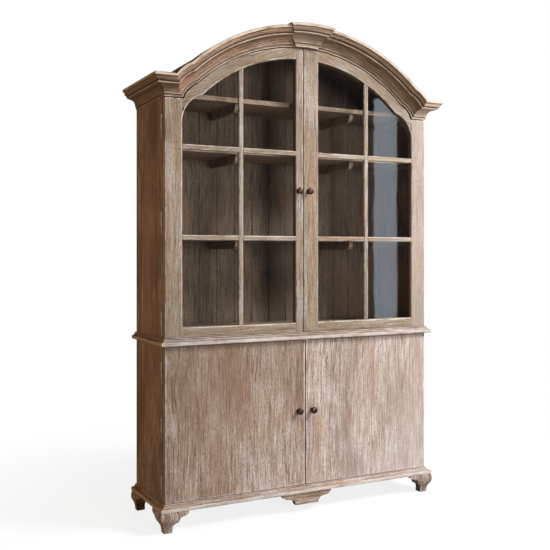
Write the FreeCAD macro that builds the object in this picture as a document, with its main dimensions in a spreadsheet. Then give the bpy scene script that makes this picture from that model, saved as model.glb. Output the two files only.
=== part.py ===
"""China cabinet: a closed two-door cupboard below, a glazed case with an arched head above it.

The floor is z = 0, x = 0 is the middle of the front, and y = 0 is the middle of the overall depth.
The front faces -y. Lengths are in millimetres.
"""
import FreeCAD, Part
import math
import os
from types import SimpleNamespace

import Sketcher

# The driving dimensions, grouped by the pieces that they size
DIMENSIONS = {
    # Case
    "body_width": 1340,
    "case_depth": 348,
    "foot_height": 88,
    "base_thickness": 30,
    "lower_opening_height": 659,
    "waist_thickness": 31,
    "upper_opening_height": 1010,
    "side_thickness": 24,
    "side_rise": 66,
    "back_thickness": 12,
    "upper_floor_thickness": 22,
    "back_groove": 3,
    # Shelves
    "shelf_thickness": 20,
    "shelf_setback": 34,
    "cleat_size": 20,
    "lower_shelf_height": 330,
    "high_shelf_height": 1032,
    "batten_height": 37,
    "batten_thickness": 20,
    "batten_spacing": 600,
    # Arched head
    "arch_rise": 275,
    "ear_width": 77,
    "shoulder_radius": 109,
    "shoulder_drop": 36,
    "face_thickness": 22,
    "face_overlap": 28,
    "face_drop": 130,
    "roof_lift": 80,
    "roof_foot": 57,
    "roof_thickness": 16,
    # Cornice and keystone
    "cornice_height": 86,
    "cornice_proud": 4,
    "cornice_run": 62,
    "keystone_proud": 14,
    "keystone_rise": 6,
    "keystone_top_width": 236,
    "keystone_bottom_width": 116,
    # Waist and base mouldings
    "waist_projection": 23,
    "base_projection": 25,
    # Feet and centre drop
    "foot_length": 124,
    "foot_bulge": 26,
    "foot_leg": 30,
    "drop_width": 250,
    "drop_height": 52,
    "drop_thickness": 30,
    "drop_proud": 17,
    # Doors
    "door_thickness": 28,
    "hinge_gap": 3,
    "door_gap": 2,
    "cornice_gap": 4,
    "swing_relief": 4,
    "door_seam": 4,
    "upper_seam_shift": 10,
    "left_meeting_stile": 36,
    "right_meeting_stile": 76,
    "arched_rail_width": 53,
    "bottom_rail_height": 45,
    "glass_spring_drop": 103,
    "glass_shoulder_radius": 127,
    "arris": 4,
    "panel_round": 2,
    # Glazing
    "glazing_front": 15,
    "rebate_width": 9,
    "glass_thickness": 4,
    "glass_play": 1,
    "bead_play": 0.3,
    "bar_width": 22,
    "bar_setback": 1,
    "bar_arris": 4,
    "low_bar_height": 423,
    "high_bar_height": 806,
    # Hinges
    "hinge_height": 62,
    "leaf_width": 20,
    "leaf_thickness": 1.4,
    "barrel_radius": 4,
    "barrel_play": 0.4,
    "pin_radius": 1.8,
    "pin_play": 0.06,
    "pin_tip": 2,
    "lower_hinge_low": 87,
    "lower_hinge_middle": 325,
    "lower_hinge_high": 562,
    "upper_hinge_low": 79,
    "upper_hinge_middle": 500,
    "upper_hinge_high": 907,
    # Knobs and catches
    "knob_radius": 15,
    "knob_length": 28,
    "lower_knob_height": 336,
    "upper_knob_height": 637,
    "lower_knob_inset": 34,
    "upper_knob_inset": 24,
    "catch_width": 40,
    "catch_depth": 20,
    "catch_height": 12,
    "catch_play": 0.5,
    "catch_inset": 40,
    # Room that every cutting shape has beyond the piece it cuts
    "overrun": 20,
}
KNUCKLES = 3
BARREL_FLATS = 8
BACK_BOARDS = 14
# The main arch springs from the shoulder at this share of its radius, out from its centre
SPRING_SHARE = 0.338
# How far a revolved moulding runs past its mitre before it is cut, and how near counts as touching
SWEEP_MARGIN_SHARE = 1.08
TOUCHING_SHARE = 1e-3

# Outlines, as shares of the run and the height of the moulding that they shape.
# A third entry is the point that the arc to the next corner passes through.
CORNICE_SHARES = (
    (0.00, 0.00),
    (0.00, 0.14),
    (0.05, 0.14, (0.12, 0.36)),
    (0.36, 0.49),
    (0.60, 0.53),
    (0.68, 0.56),
    (0.68, 0.63),
    (0.72, 0.65, (0.80, 0.68)),
    (0.85, 0.75, (0.89, 0.83)),
    (0.96, 0.86),
    (1.00, 0.86),
    (1.00, 1.00),
)
WAIST_SHARES = (
    (0.00, 0.00),
    (0.87, 0.00),
    (1.00, 0.10),
    (1.00, 0.46),
    (0.88, 0.52, (0.58, 0.60)),
    (0.42, 0.80),
    (0.34, 0.84),
    (0.34, 1.00),
    (0.00, 1.00),
)
BASE_SHARES = (
    (0.00, 0.00),
    (0.92, 0.00),
    (1.00, 0.08),
    (1.00, 0.48),
    (0.88, 0.54, (0.42, 0.66)),
    (0.22, 0.94),
    (0.22, 1.00),
    (0.00, 1.00),
)
# The foot's swelling face, as shares of its bulge and its height, from the top down
FOOT_FACE_SHARES = (
    (0.80, 1.00, (1.00, 0.76)),
    (0.62, 0.44, (0.34, 0.24)),
    (0.24, 0.00),
)
# The foot's scrolled underside, as shares of the bracket's length and the foot's height
BRACKET_SHARES = (
    (0.00, 0.30, (0.10, 0.42)),
    (0.33, 0.50),
    (0.42, 0.72),
    (0.60, 0.78, (0.82, 0.82)),
    (1.00, 0.93),
)
# Half of the centre drop, as shares of its half width and its height, from the top down
DROP_SHARES = (
    (1.00, 0.00, (0.95, 0.28)),
    (0.86, 0.42),
    (0.62, 0.50, (0.52, 0.66)),
    (0.46, 1.00),
)
# The knob's turned profile, as shares of its radius and its length, from the door to its button end
KNOB_SHARES = (
    (0.00, 0.00),
    (0.66, 0.00),
    (0.66, 0.09),
    (0.36, 0.22),
    (0.36, 0.46),
    (1.00, 0.70),
    (0.74, 0.94),
    (0.00, 1.00),
)
# The batten's front end, as shares of its height back from the end and up from its foot
BATTEN_SHARES = (
    (0.90, 0.00, (0.30, 0.14)),
    (0.00, 0.70),
    (0.00, 1.00),
)


class Size:
    """A length that keeps its value, for drawing, and its formula over the sheet, for binding."""

    def __init__(self, value, text):
        self.value = float(value)
        self.text = text

    def __add__(self, other):
        return Size(self.value + plain(other), f"({self.text} + {formula(other)})")

    def __sub__(self, other):
        return Size(self.value - plain(other), f"({self.text} - {formula(other)})")

    def __mul__(self, other):
        return Size(self.value * plain(other), f"({self.text} * {formula(other)})")

    def __truediv__(self, other):
        return Size(self.value / plain(other), f"({self.text} / {formula(other)})")

    def __neg__(self):
        return Size(-self.value, f"(0 - {self.text})")


def plain(item):
    return item.value if isinstance(item, Size) else float(item)


def formula(item):
    return item.text if isinstance(item, Size) else repr(float(item))


def root(square):
    return Size(math.sqrt(square.value), f"sqrt({square.text})")


def leg(longest, other):
    """The third side of a right-angled triangle."""
    return root(longest * longest - other * other)


def turn(across, along):
    """The angle in degrees whose tangent is across over along."""
    degrees = math.degrees(math.atan2(across.value, along.value))
    return Size(degrees, f"atan2({across.text}; {along.text})")


doc = FreeCAD.newDocument("china_cabinet")
sheet = doc.addObject("Spreadsheet::Sheet", "sizes")
derived = doc.addObject("App::VarSet", "derived")
for row, (alias, length) in enumerate(DIMENSIONS.items(), start=1):
    sheet.set(f"A{row}", alias)
    sheet.set(f"B{row}", str(length))
    sheet.setAlias(f"B{row}", alias)
doc.recompute()
d = SimpleNamespace(**{alias: Size(getattr(sheet, alias), f"sizes.{alias}") for alias in DIMENSIONS})
ZERO = Size(0, "0")
QUARTER_TURN = Size(90, "90")
nodes = []


def named(name, size):
    """Keeps a worked-out size in the document under a name of its own."""
    derived.addProperty("App::PropertyFloat", name, "derived")
    derived.setExpression(name, size.text)
    return Size(size.value, f"derived.{name}")


def keep(piece):
    """Adds a piece to those that are written, under its label."""
    nodes.append(piece)
    return piece


# Levels and planes of the whole cabinet
half = named("half_width", d.body_width / 2)
inner = named("inner_half_width", half - d.side_thickness)
base_top = named("base_top", d.foot_height + d.base_thickness)
waist_bottom = named("waist_bottom", base_top + d.lower_opening_height)
waist_top = named("waist_top", waist_bottom + d.waist_thickness)
ear_level = named("ear_level", waist_top + d.upper_opening_height)
cornice_reach = named("cornice_reach", d.cornice_proud + d.cornice_run)
door_stack = named("door_stack", d.hinge_gap + d.door_thickness)
back = named("back_plane", (d.case_depth + door_stack + cornice_reach + d.keystone_proud) / 2)
front = named("case_front", back - d.case_depth)
door_back = named("door_back", front - d.hinge_gap)
door_front = named("door_front", front - door_stack)
back_face = named("back_face", back - d.back_thickness)


class Arc:
    """An arc across the cabinet, which climbs from its foot at half its span to its crown in the middle."""

    def __init__(self, radius, centre):
        self.radius = radius
        self.centre = centre

    @classmethod
    def over(cls, name, half_span, foot, crown):
        rise = crown - foot
        radius = named(name + "_radius", (half_span * half_span + rise * rise) / (rise * 2))
        return cls(radius, named(name + "_centre", crown - radius))

    def grown(self, offset):
        return Arc(self.radius + offset, self.centre)

    def crown(self):
        return ZERO, self.centre + self.radius

    def at(self, x):
        return x, self.centre + leg(self.radius, x)


# The line under the cornice: a flat ear, a round shoulder and the main arch
arch_top = named("arch_top", ear_level + d.arch_rise)
ear_corner = named("ear_corner", half - d.ear_width)
shoulder_x = named("shoulder_x", ear_corner - leg(d.shoulder_radius, d.shoulder_drop))
shoulder_z = named("shoulder_z", ear_level - d.shoulder_drop)
spring = d.shoulder_radius * SPRING_SHARE
spring_z = shoulder_z + leg(d.shoulder_radius, spring)
arch = Arc.over("arch", shoulder_x + spring, spring_z, arch_top)

# The glass opening under it, with the same two arcs
glass_arch = arch.grown(-d.arched_rail_width)
glass_spring = named("glass_spring", ear_level - d.glass_spring_drop)
glass_shoulder_x = named("glass_shoulder_x", ear_corner - d.glass_shoulder_radius)
glass_bottom = named("glass_bottom", waist_top + d.bottom_rail_height)

# The roof behind the cornice and the lower edge of the board that carries it
roof = Arc.over("roof", inner, ear_level + d.roof_foot, arch_top + d.roof_lift)
ceiling = roof.grown(-d.roof_thickness)
face_edge = Arc.over("face_edge", inner, ear_level - d.face_drop, arch_top - d.face_overlap)


def meeting_point(name, arc, centre_x, centre_z, radius):
    """Where an arc meets the circle of a shoulder, on the side of the crown."""
    rise = centre_z - arc.centre
    apart = named(name + "_apart", root(centre_x * centre_x + rise * rise))
    squares = arc.radius * arc.radius - radius * radius + apart * apart
    along = named(name + "_along", squares / (apart * 2))
    across = named(name + "_across", leg(arc.radius, along))
    x = named(name + "_x", (along * centre_x - across * rise) / apart)
    z = named(name + "_z", arc.centre + (along * rise + across * centre_x) / apart)
    return x, z


def cornice_cusp(name, offset):
    """Where the shoulder and the arch meet, at one distance out from the line under the cornice."""
    return meeting_point(name, arch.grown(offset), shoulder_x, shoulder_z, d.shoulder_radius + offset)


def glass_cusp(name, offset):
    """Where the shoulder and the arch of the glass opening meet, with the opening widened by offset."""
    radius = d.glass_shoulder_radius + offset
    return meeting_point(name, glass_arch.grown(offset), glass_shoulder_x, glass_spring, radius)


def on_glass_shoulder(radius, x):
    """The point at one x of a circle round the centre of the opening's shoulder."""
    return x, glass_spring + leg(radius, x - glass_shoulder_x)


def between(one, other):
    return (one + other) / 2


# Tools that draw and shape the pieces
def origin_item(body, role):
    return next(item for item in body.Origin.OriginFeatures if item.Role == role)


def vector(point):
    return FreeCAD.Vector(plain(point[0]), plain(point[1]), 0)


def bind_point(sketch, geometry, end, point):
    """Ties one end of a line or arc to its two named distances from the origin."""
    for kind, size in (("DistanceX", point[0]), ("DistanceY", point[1])):
        index = sketch.addConstraint(Sketcher.Constraint(kind, -1, 1, geometry, end, size.value))
        sketch.setExpression(f"Constraints[{index}]", size.text)


def draw(body, role, loops, lift):
    """A sketch of closed loops of lines and arcs on a plane of the body, lifted along its normal."""
    sketch = body.newObject("Sketcher::SketchObject", body.Name + "_outline")
    sketch.AttachmentSupport = [(origin_item(body, role), "")]
    sketch.MapMode = "FlatFace"
    sketch.setExpression("AttachmentOffset.Base.z", lift.text)
    for corners in loops:
        ends = []
        for corner, following in zip(corners, corners[1:] + corners[:1]):
            start = vector(corner)
            if len(corner) == 3:
                edge = sketch.addGeometry(Part.Arc(start, vector(corner[2]), vector(following)), False)
                passed = sketch.addGeometry(Part.Point(vector(corner[2])), True)
                bind_point(sketch, passed, 1, corner[2])
                sketch.addConstraint(Sketcher.Constraint("PointOnObject", passed, 1, edge))
            else:
                edge = sketch.addGeometry(Part.LineSegment(start, vector(following)), False)
            first_gap, last_gap = (sketch.getPoint(edge, end).distanceToPoint(start) for end in (1, 2))
            ends.append((edge, 1, 2) if first_gap < last_gap else (edge, 2, 1))
            bind_point(sketch, edge, ends[-1][1], corner)
        for (edge, _, end), (following, start, _) in zip(ends, ends[1:] + ends[:1]):
            sketch.addConstraint(Sketcher.Constraint("Coincident", edge, end, following, start))
    return sketch


def pad(body, role, loops, start, end):
    """Adds a prism between two planes; on the XZ plane it grows forwards, from the back one."""
    backwards = role == "XZ_Plane"
    feature = body.newObject("PartDesign::Pad", body.Name + "_pad")
    feature.Profile = draw(body, role, loops, -start if backwards else start)
    feature.setExpression("Length", (start - end if backwards else end - start).text)
    doc.recompute()
    return feature


def cut(body, role, loops, start, end):
    """Takes a prism away between two planes; on the XZ plane it goes backwards, from the front one."""
    backwards = role == "XZ_Plane"
    before = body.Shape.Volume
    feature = body.newObject("PartDesign::Pocket", body.Name + "_cut")
    feature.Profile = draw(body, role, loops, -start if backwards else start)
    feature.setExpression("Length", (end - start if backwards else start - end).text)
    doc.recompute()
    if not body.Shape.Volume < before:
        raise RuntimeError(f"a cut of {body.Label} takes nothing away")
    return feature


def prism(label, role, loops, start, end):
    body = doc.addObject("PartDesign::Body", label)
    pad(body, role, loops, start, end)
    return body


def edges_where(feature, test):
    """The names of a feature's edges that pass a test."""
    edges = enumerate(feature.Shape.Edges, start=1)
    return [f"Edge{number}" for number, edge in edges if test(edge)]


def on_plane(edge, plane):
    """Whether an edge lies on one y plane."""
    box = edge.BoundBox
    near = edge.Length * TOUCHING_SHARE
    return abs(box.YMin - plane.value) < near and abs(box.YMax - plane.value) < near


def soften(body, kind, feature, test, size, amount):
    """Rounds or bevels the chosen edges of a body's last feature."""
    finish = body.newObject(f"PartDesign::{kind}", body.Name + "_arris")
    finish.Base = (feature, edges_where(feature, test))
    finish.setExpression(size, amount.text)
    doc.recompute()
    return finish


def board(label, x, y, z):
    """A plain board between pairs of planes."""
    box = doc.addObject("Part::Box", label)
    for side, axis, (low, high) in zip(("Length", "Width", "Height"), "xyz", (x, y, z)):
        box.setExpression(side, (high - low).text)
        box.setExpression(f"Placement.Base.{axis}", low.text)
    return box


def group(label, pieces):
    """Several pieces in one node."""
    compound = doc.addObject("Part::Compound", label)
    compound.Links = pieces
    return compound


def mirrored(label, piece):
    """The left-hand twin of a right-hand piece."""
    twin = doc.addObject("Part::Mirroring", label)
    twin.Source = piece
    twin.Normal = FreeCAD.Vector(1, 0, 0)
    return twin


def corners_of(shares, place):
    """Outline corners from a table of shares, where place gives a corner's two sizes."""
    corners = []
    for share in shares:
        corner = place(share[0], share[1])
        corners.append(corner if len(share) == 2 else (*corner, place(*share[2])))
    return corners


def backwards(corners):
    """An open outline run the other way, with each arc's passing point kept with its arc."""
    places = [corner[:2] for corner in corners]
    passed = [corner[2:] for corner in corners[:-1]]
    return [(*place, *via) for place, via in zip(reversed(places), [*reversed(passed), ()])]


# Case: the boards of the cupboard and of the glazed case
def build_case():
    depth = (front, back)
    inside = (-inner, inner)
    full = (-half, half)
    sides = (("left", (-half, -inner)), ("right", (inner, half)))
    keep(board("base_board", full, (door_front, back), (d.foot_height, base_top)))
    keep(board("waist_board", full, (door_front, back), (waist_bottom, waist_top)))
    side_top = ear_level + d.side_rise
    for hand, across in sides:
        keep(board(f"lower_{hand}_side", across, depth, (base_top, waist_bottom)))
        keep(board(f"upper_{hand}_side", across, depth, (waist_top, side_top)))
    keep(board("lower_back", inside, (back_face, back), (base_top, waist_bottom)))
    keep(board("upper_floor", inside, (front, back_face), (waist_top, waist_top + d.upper_floor_thickness)))


def build_batten(label, x, under, reach):
    """A batten across the underside of a shelf, with a rounded front end."""

    def place(share, height_share):
        height = d.batten_height
        return reach[0] + height * share, under - height + height * height_share

    outline = corners_of(BATTEN_SHARES, place) + [(reach[1], under), (reach[1], under - d.batten_height)]
    return prism(label, "YZ_Plane", [outline], x - d.batten_thickness / 2, x + d.batten_thickness / 2)


def build_shelves():
    """Shelves stand on cleats; the two lower ones of the glazed case hide behind its cross bars."""
    inside = (-inner, inner)
    deep = (front + d.shelf_setback, back_face)
    levels = (
        ("lower_shelf", base_top + d.lower_shelf_height),
        ("low_shelf", waist_top + d.low_bar_height),
        ("middle_shelf", waist_top + d.high_bar_height),
        ("high_shelf", waist_top + d.high_shelf_height),
    )
    reach = (deep[0] + d.cleat_size, back_face)
    ends = (("left", (-inner, d.cleat_size - inner)), ("right", (inner - d.cleat_size, inner)))
    cleats = []
    battens = []
    for label, middle in levels:
        under = middle - d.shelf_thickness / 2
        keep(board(label, inside, deep, (under, under + d.shelf_thickness)))
        for hand, across in ends:
            cleats.append(board(f"{label}_{hand}_cleat", across, reach, (under - d.cleat_size, under)))
        if label == "lower_shelf":
            continue
        for hand, sign in (("left", -1), ("right", 1)):
            x = d.batten_spacing * sign / 2
            battens.append(build_batten(f"{label}_{hand}_batten", x, under, reach))
    keep(group("shelf_cleats", cleats))
    keep(group("shelf_battens", battens))


def band(upper, lower):
    """A curved band between two arcs, from side to side of the case."""
    return [
        (*lower.at(-inner), lower.crown()),
        lower.at(inner),
        (*upper.at(inner), upper.crown()),
        upper.at(-inner),
    ]


def build_arched_head():
    """The face board that carries the cornice, the bent roof behind it and the grooved back."""
    face_back = front + d.face_thickness
    keep(prism("arch_face_board", "XZ_Plane", [band(roof, face_edge)], face_back, front))
    keep(prism("arched_roof", "XZ_Plane", [band(roof, ceiling)], back, face_back))
    outline = [
        (-inner, waist_top),
        (inner, waist_top),
        (*ceiling.at(inner), ceiling.crown()),
        ceiling.at(-inner),
    ]
    panel = prism("upper_back", "XZ_Plane", [outline], back, back_face)
    pitch = inner * 2 / BACK_BOARDS
    first = pitch - inner
    groove = [
        (first - d.back_groove, back_face),
        (first + d.back_groove, back_face),
        (first, back_face + d.back_groove),
    ]
    slot = cut(panel, "XY_Plane", [groove], roof.crown()[1], waist_top - d.overrun)
    pattern = panel.newObject("PartDesign::LinearPattern", "back_grooves")
    pattern.Originals = [slot]
    pattern.Direction = (origin_item(panel, "X_Axis"), [""])
    pattern.Occurrences = BACK_BOARDS - 1
    pattern.setExpression("Length", (pitch * (BACK_BOARDS - 2)).text)
    panel.Tip = pattern
    keep(panel)


# Cornice: one profile, revolved along the arch and the shoulders and run straight along ears and sides
def cornice_section(level, proud, rise):
    """The profile in front of the case, standing on one level, as depth and height."""
    face = door_front - d.cornice_proud - proud

    def place(run_share, height_share):
        lift = rise if height_share else ZERO
        return face - d.cornice_run * run_share, level + lift + d.cornice_height * height_share

    top = level + rise + d.cornice_height
    return corners_of(CORNICE_SHARES, place) + [(front, top), (front, level)]


def revolved(label, section, at_x, centre_z, angle, both_ways):
    """A moulding turned about a front-to-back axis."""
    body = doc.addObject("PartDesign::Body", label)
    sketch = draw(body, "YZ_Plane", [section], at_x)
    ends = [(door_front, centre_z), (front, centre_z)]
    axis = sketch.addGeometry(Part.LineSegment(vector(ends[0]), vector(ends[1])), True)
    for end, point in enumerate(ends, start=1):
        bind_point(sketch, axis, end, point)
    feature = body.newObject("PartDesign::Revolution", label + "_turn")
    feature.Profile = sketch
    feature.ReferenceAxis = (sketch, ["Axis0"])
    feature.Midplane = both_ways
    feature.setExpression("Angle", angle.text)
    doc.recompute()
    return body


def keystone_side():
    """One slanting side of the keystone, past its foot and its head: foot x and z, head x and z."""
    foot = d.keystone_bottom_width / 2
    head = d.keystone_top_width / 2
    height = d.cornice_height + d.keystone_rise
    slant = (head - foot) / height
    low = named("keystone_low", arch_top - d.overrun)
    high = named("keystone_high", arch_top + height + d.overrun)
    foot_x = named("keystone_foot_x", foot - slant * d.overrun)
    head_x = named("keystone_head_x", head + slant * d.overrun)
    return foot_x, low, head_x, high


def ear_mitre(offset):
    """Where the ear and the shoulder meet, at one distance out from the line under the cornice."""
    rise = d.shoulder_drop + offset
    return shoulder_x + leg(d.shoulder_radius + offset, rise), ear_level + offset


def build_cornice():
    height = d.cornice_height
    cusp_foot = cornice_cusp("cusp_foot", ZERO)
    cusp_middle = cornice_cusp("cusp_middle", height / 2)
    cusp_head = cornice_cusp("cusp_head", height)
    mitre_foot = (ear_corner, ear_level)
    mitre_middle = ear_mitre(height / 2)
    mitre_head = ear_mitre(height)
    foot_x, low, head_x, high = keystone_side()
    nearest = named("cornice_nearest", door_front - cornice_reach - d.overrun)
    behind = named("cornice_behind", front + d.overrun)
    far_x = named("cornice_far_x", half + cornice_reach + d.overrun)
    far_z = named("cornice_far_z", arch_top + height + d.overrun)
    section = cornice_section(arch_top, ZERO, ZERO)

    # The arch's right half, from the keystone to the shoulder
    sweep = turn(cusp_foot[0], cusp_foot[1] - arch.centre) * SWEEP_MARGIN_SHARE
    bow = revolved("cornice_right_arch", section, ZERO, arch.centre, sweep, False)
    middle = [(-d.overrun, low), (foot_x, low), (head_x, high), (-d.overrun, high)]
    cut(bow, "XZ_Plane", [middle], nearest, behind)
    beyond = [
        (ZERO, arch.centre),
        (*cusp_foot, cusp_middle),
        cusp_head,
        (far_x, cusp_head[1]),
        (far_x, arch.centre),
    ]
    cut(bow, "XZ_Plane", [beyond], nearest, behind)

    # The right shoulder, between the arch and the ear
    section = cornice_section(shoulder_z + d.shoulder_radius, ZERO, ZERO)
    shoulder = revolved("cornice_right_shoulder", section, shoulder_x, shoulder_z, QUARTER_TURN, False)
    short_of = [
        (shoulder_x, shoulder_z),
        (*cusp_foot, cusp_middle),
        cusp_head,
        (cusp_head[0], far_z),
        (shoulder_x - d.overrun, far_z),
        (shoulder_x - d.overrun, shoulder_z),
    ]
    cut(shoulder, "XZ_Plane", [short_of], nearest, behind)
    past = [
        (shoulder_x, shoulder_z),
        (*mitre_foot, mitre_middle),
        mitre_head,
        (mitre_head[0], far_z),
        (far_x, far_z),
        (far_x, shoulder_z - d.overrun),
        (shoulder_x, shoulder_z - d.overrun),
    ]
    cut(shoulder, "XZ_Plane", [past], nearest, behind)

    # The right ear, mitred to the shoulder and to the side return
    section = cornice_section(ear_level, ZERO, ZERO)
    ear = prism("cornice_right_ear", "YZ_Plane", [section], ear_corner, half + cornice_reach)
    inside = [
        (*mitre_foot, mitre_middle),
        mitre_head,
        (mitre_head[0], far_z),
        (ear_corner - d.overrun, far_z),
        (ear_corner - d.overrun, ear_level),
    ]
    cut(ear, "XZ_Plane", [inside], nearest, behind)
    tip = (far_x, door_front - cornice_reach - d.overrun)
    outside = [(half, behind), (half, door_front), tip, (far_x, behind)]
    cut(ear, "XY_Plane", [outside], far_z, ear_level - d.overrun)

    # The right side return, from the mitre to the back
    def beside(run_share, height_share):
        return half + d.cornice_proud + d.cornice_run * run_share, ear_level + height * height_share

    profile = corners_of(CORNICE_SHARES, beside) + [(half, ear_level + height), (half, ear_level)]
    side_return = prism("cornice_right_return", "XZ_Plane", [profile], back, door_front - cornice_reach)
    ahead = [(half, door_front), tip, (half - d.overrun, tip[1]), (half - d.overrun, door_front)]
    cut(side_return, "XY_Plane", [ahead], far_z, ear_level - d.overrun)

    keep(bow)
    keep(mirrored("cornice_left_arch", bow))
    keep(group("cornice_shoulders", [shoulder, mirrored("cornice_left_shoulder", shoulder)]))
    keep(ear)
    keep(mirrored("cornice_left_ear", ear))
    keep(group("cornice_returns", [side_return, mirrored("cornice_left_return", side_return)]))

    # The keystone, prouder and taller, with slanting sides
    spread = turn(head_x, arch.radius) * 2 * SWEEP_MARGIN_SHARE
    section = cornice_section(arch_top, d.keystone_proud, d.keystone_rise)
    keystone = revolved("cornice_keystone", section, ZERO, arch.centre, spread, True)
    nearest = nearest - d.keystone_proud
    for sign in (1, -1):
        slope = [(foot_x * sign, low), (head_x * sign, high), (far_x * sign, high), (far_x * sign, low)]
        cut(keystone, "XZ_Plane", [slope], nearest, behind)
    keep(keystone)


# Waist and base mouldings: a front run and two side runs, mitred at the corners
def build_moulding(name, shares, projection, level, height):
    nearest = door_front - projection
    corner = (half, door_front)
    tip = (half + projection + d.overrun, nearest - d.overrun)
    above = level + height + d.overrun
    below = level - d.overrun

    def ahead(run_share, height_share):
        return door_front - projection * run_share, level + height * height_share

    def beside(run_share, height_share):
        return half + projection * run_share, level + height * height_share

    end = half + projection
    run = prism(f"{name}_front", "YZ_Plane", [corners_of(shares, ahead)], -end, end)
    for sign in (1, -1):
        wedge = [
            (half * sign, door_front),
            (tip[0] * sign, tip[1]),
            (tip[0] * sign, door_front + d.overrun),
            (half * sign, door_front + d.overrun),
        ]
        cut(run, "XY_Plane", [wedge], above, below)
    side = prism(f"{name}_right", "XZ_Plane", [corners_of(shares, beside)], back, nearest)
    wedge = [corner, tip, (half - d.overrun, tip[1]), (half - d.overrun, door_front)]
    cut(side, "XY_Plane", [wedge], above, below)
    keep(run)
    keep(group(f"{name}_sides", [side, mirrored(f"{name}_left", side)]))


# Feet: brackets with a swelling face and a scrolled underside, round each corner of the base
def build_foot(label, face, inwards, swells):
    """The right-hand foot at one face of the case; inwards is the sign of y towards the middle."""
    height = d.foot_height
    tall = height + d.overrun
    tip = half + d.foot_bulge - d.foot_length
    reach = d.foot_length - (d.foot_bulge if swells else ZERO)
    far = face + reach * inwards
    inner_x = half - d.foot_leg
    inner_y = face + d.foot_leg * inwards

    def swell(share, height_share):
        return half + d.foot_bulge * share, height * height_share

    def swell_ahead(share, height_share):
        return face - d.foot_bulge * share * inwards, height * height_share

    curve = corners_of(FOOT_FACE_SHARES, swell_ahead) if swells else [(face, height), (face, ZERO)]
    body = prism(label, "YZ_Plane", [curve + [(far, ZERO), (far, height)]], tip, half + d.foot_bulge)
    outer_x = half + d.foot_bulge + d.overrun
    beyond_y = (face - (d.foot_bulge + d.overrun) * inwards, far + d.overrun * inwards)
    low_y, high_y = sorted(beyond_y, key=plain)

    # The swelling side face
    side_curve = corners_of(FOOT_FACE_SHARES, swell)
    waste = side_curve + [
        (side_curve[-1][0], -d.overrun),
        (outer_x, -d.overrun),
        (outer_x, tall),
        (side_curve[0][0], tall),
    ]
    cut(body, "XZ_Plane", [waste], low_y, high_y)
    # The hollow behind the two brackets
    past_tip = tip - d.overrun
    hollow = [(past_tip, inner_y), (inner_x, inner_y), (inner_x, beyond_y[1]), (past_tip, beyond_y[1])]
    cut(body, "XY_Plane", [hollow], tall, -d.overrun)

    # The scrolled undersides
    def scroll_across(share, height_share):
        return inner_x - (inner_x - tip) * share, height * height_share

    def scroll_along(share, height_share):
        return inner_y + (far - inner_y) * share, height * height_share

    across = corners_of(BRACKET_SHARES, scroll_across)
    end = (past_tip, across[-1][1])
    scroll = across + [end, (past_tip, -d.overrun), (inner_x, -d.overrun)]
    cut(body, "XZ_Plane", [scroll], low_y, high_y)
    along = corners_of(BRACKET_SHARES, scroll_along)
    end = (beyond_y[1], along[-1][1])
    scroll = along + [end, (end[0], -d.overrun), (inner_y, -d.overrun)]
    cut(body, "YZ_Plane", [scroll], outer_x, past_tip)
    return body


def build_feet():
    for place, face, inwards, swells in (("front", door_front, 1, True), ("back", back, -1, False)):
        foot = keep(build_foot(f"foot_{place}_right", face, inwards, swells))
        keep(mirrored(f"foot_{place}_left", foot))


def build_centre_drop():
    half_width = d.drop_width / 2

    def place(sign):
        return lambda share, height_share: (
            half_width * share * sign, d.foot_height - d.drop_height * height_share)

    down = corners_of(DROP_SHARES, place(1))
    up = backwards(corners_of(DROP_SHARES, place(-1)))
    nearest = door_front - d.drop_proud
    keep(prism("centre_drop", "XZ_Plane", [down + up], nearest + d.drop_thickness, nearest))


# Doors
def opening_loop(name, seam_edge, offset):
    """The glass opening of an upper door, widened by offset, as corners counted from the meeting stile."""
    curve = glass_arch.grown(offset)
    shoulder = d.glass_shoulder_radius + offset
    cusp = glass_cusp(name, offset)
    side = ear_corner + offset
    near = seam_edge - offset
    low = glass_bottom - offset
    return [
        (near, low),
        (side, low),
        (side, glass_spring, on_glass_shoulder(shoulder, between(side, cusp[0]))),
        (*cusp, curve.at(between(cusp[0], near))),
        curve.at(near),
    ]


def flipped(corners, sign):
    """Corners counted from the middle outwards, set out on one side of the cabinet."""
    turned = []
    for corner in corners:
        x, z = corner[0] * sign, corner[1]
        turned.append((x, z) if len(corner) == 2 else (x, z, (corner[2][0] * sign, corner[2][1])))
    return turned


def arris_test(corners, plane):
    """A test for the front edges of a piece that lie along the glass opening."""
    lines = Part.Wire([
        Part.Arc(vector(here), vector(here[2]), vector(after)).toShape() if len(here) == 3
        else Part.LineSegment(vector(here), vector(after)).toShape()
        for here, after in zip(corners, corners[1:] + corners[:1])])

    def test(edge):
        if not on_plane(edge, plane):
            return False
        first, last = edge.ParameterRange
        shares = (0.1, 0.5, 0.9)
        spots = (edge.valueAt(first + (last - first) * share) for share in shares)
        return all(
            lines.distToShape(Part.Vertex(spot.x, spot.z, 0))[0] < edge.Length * TOUCHING_SHARE
            for spot in spots)

    return test


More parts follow.
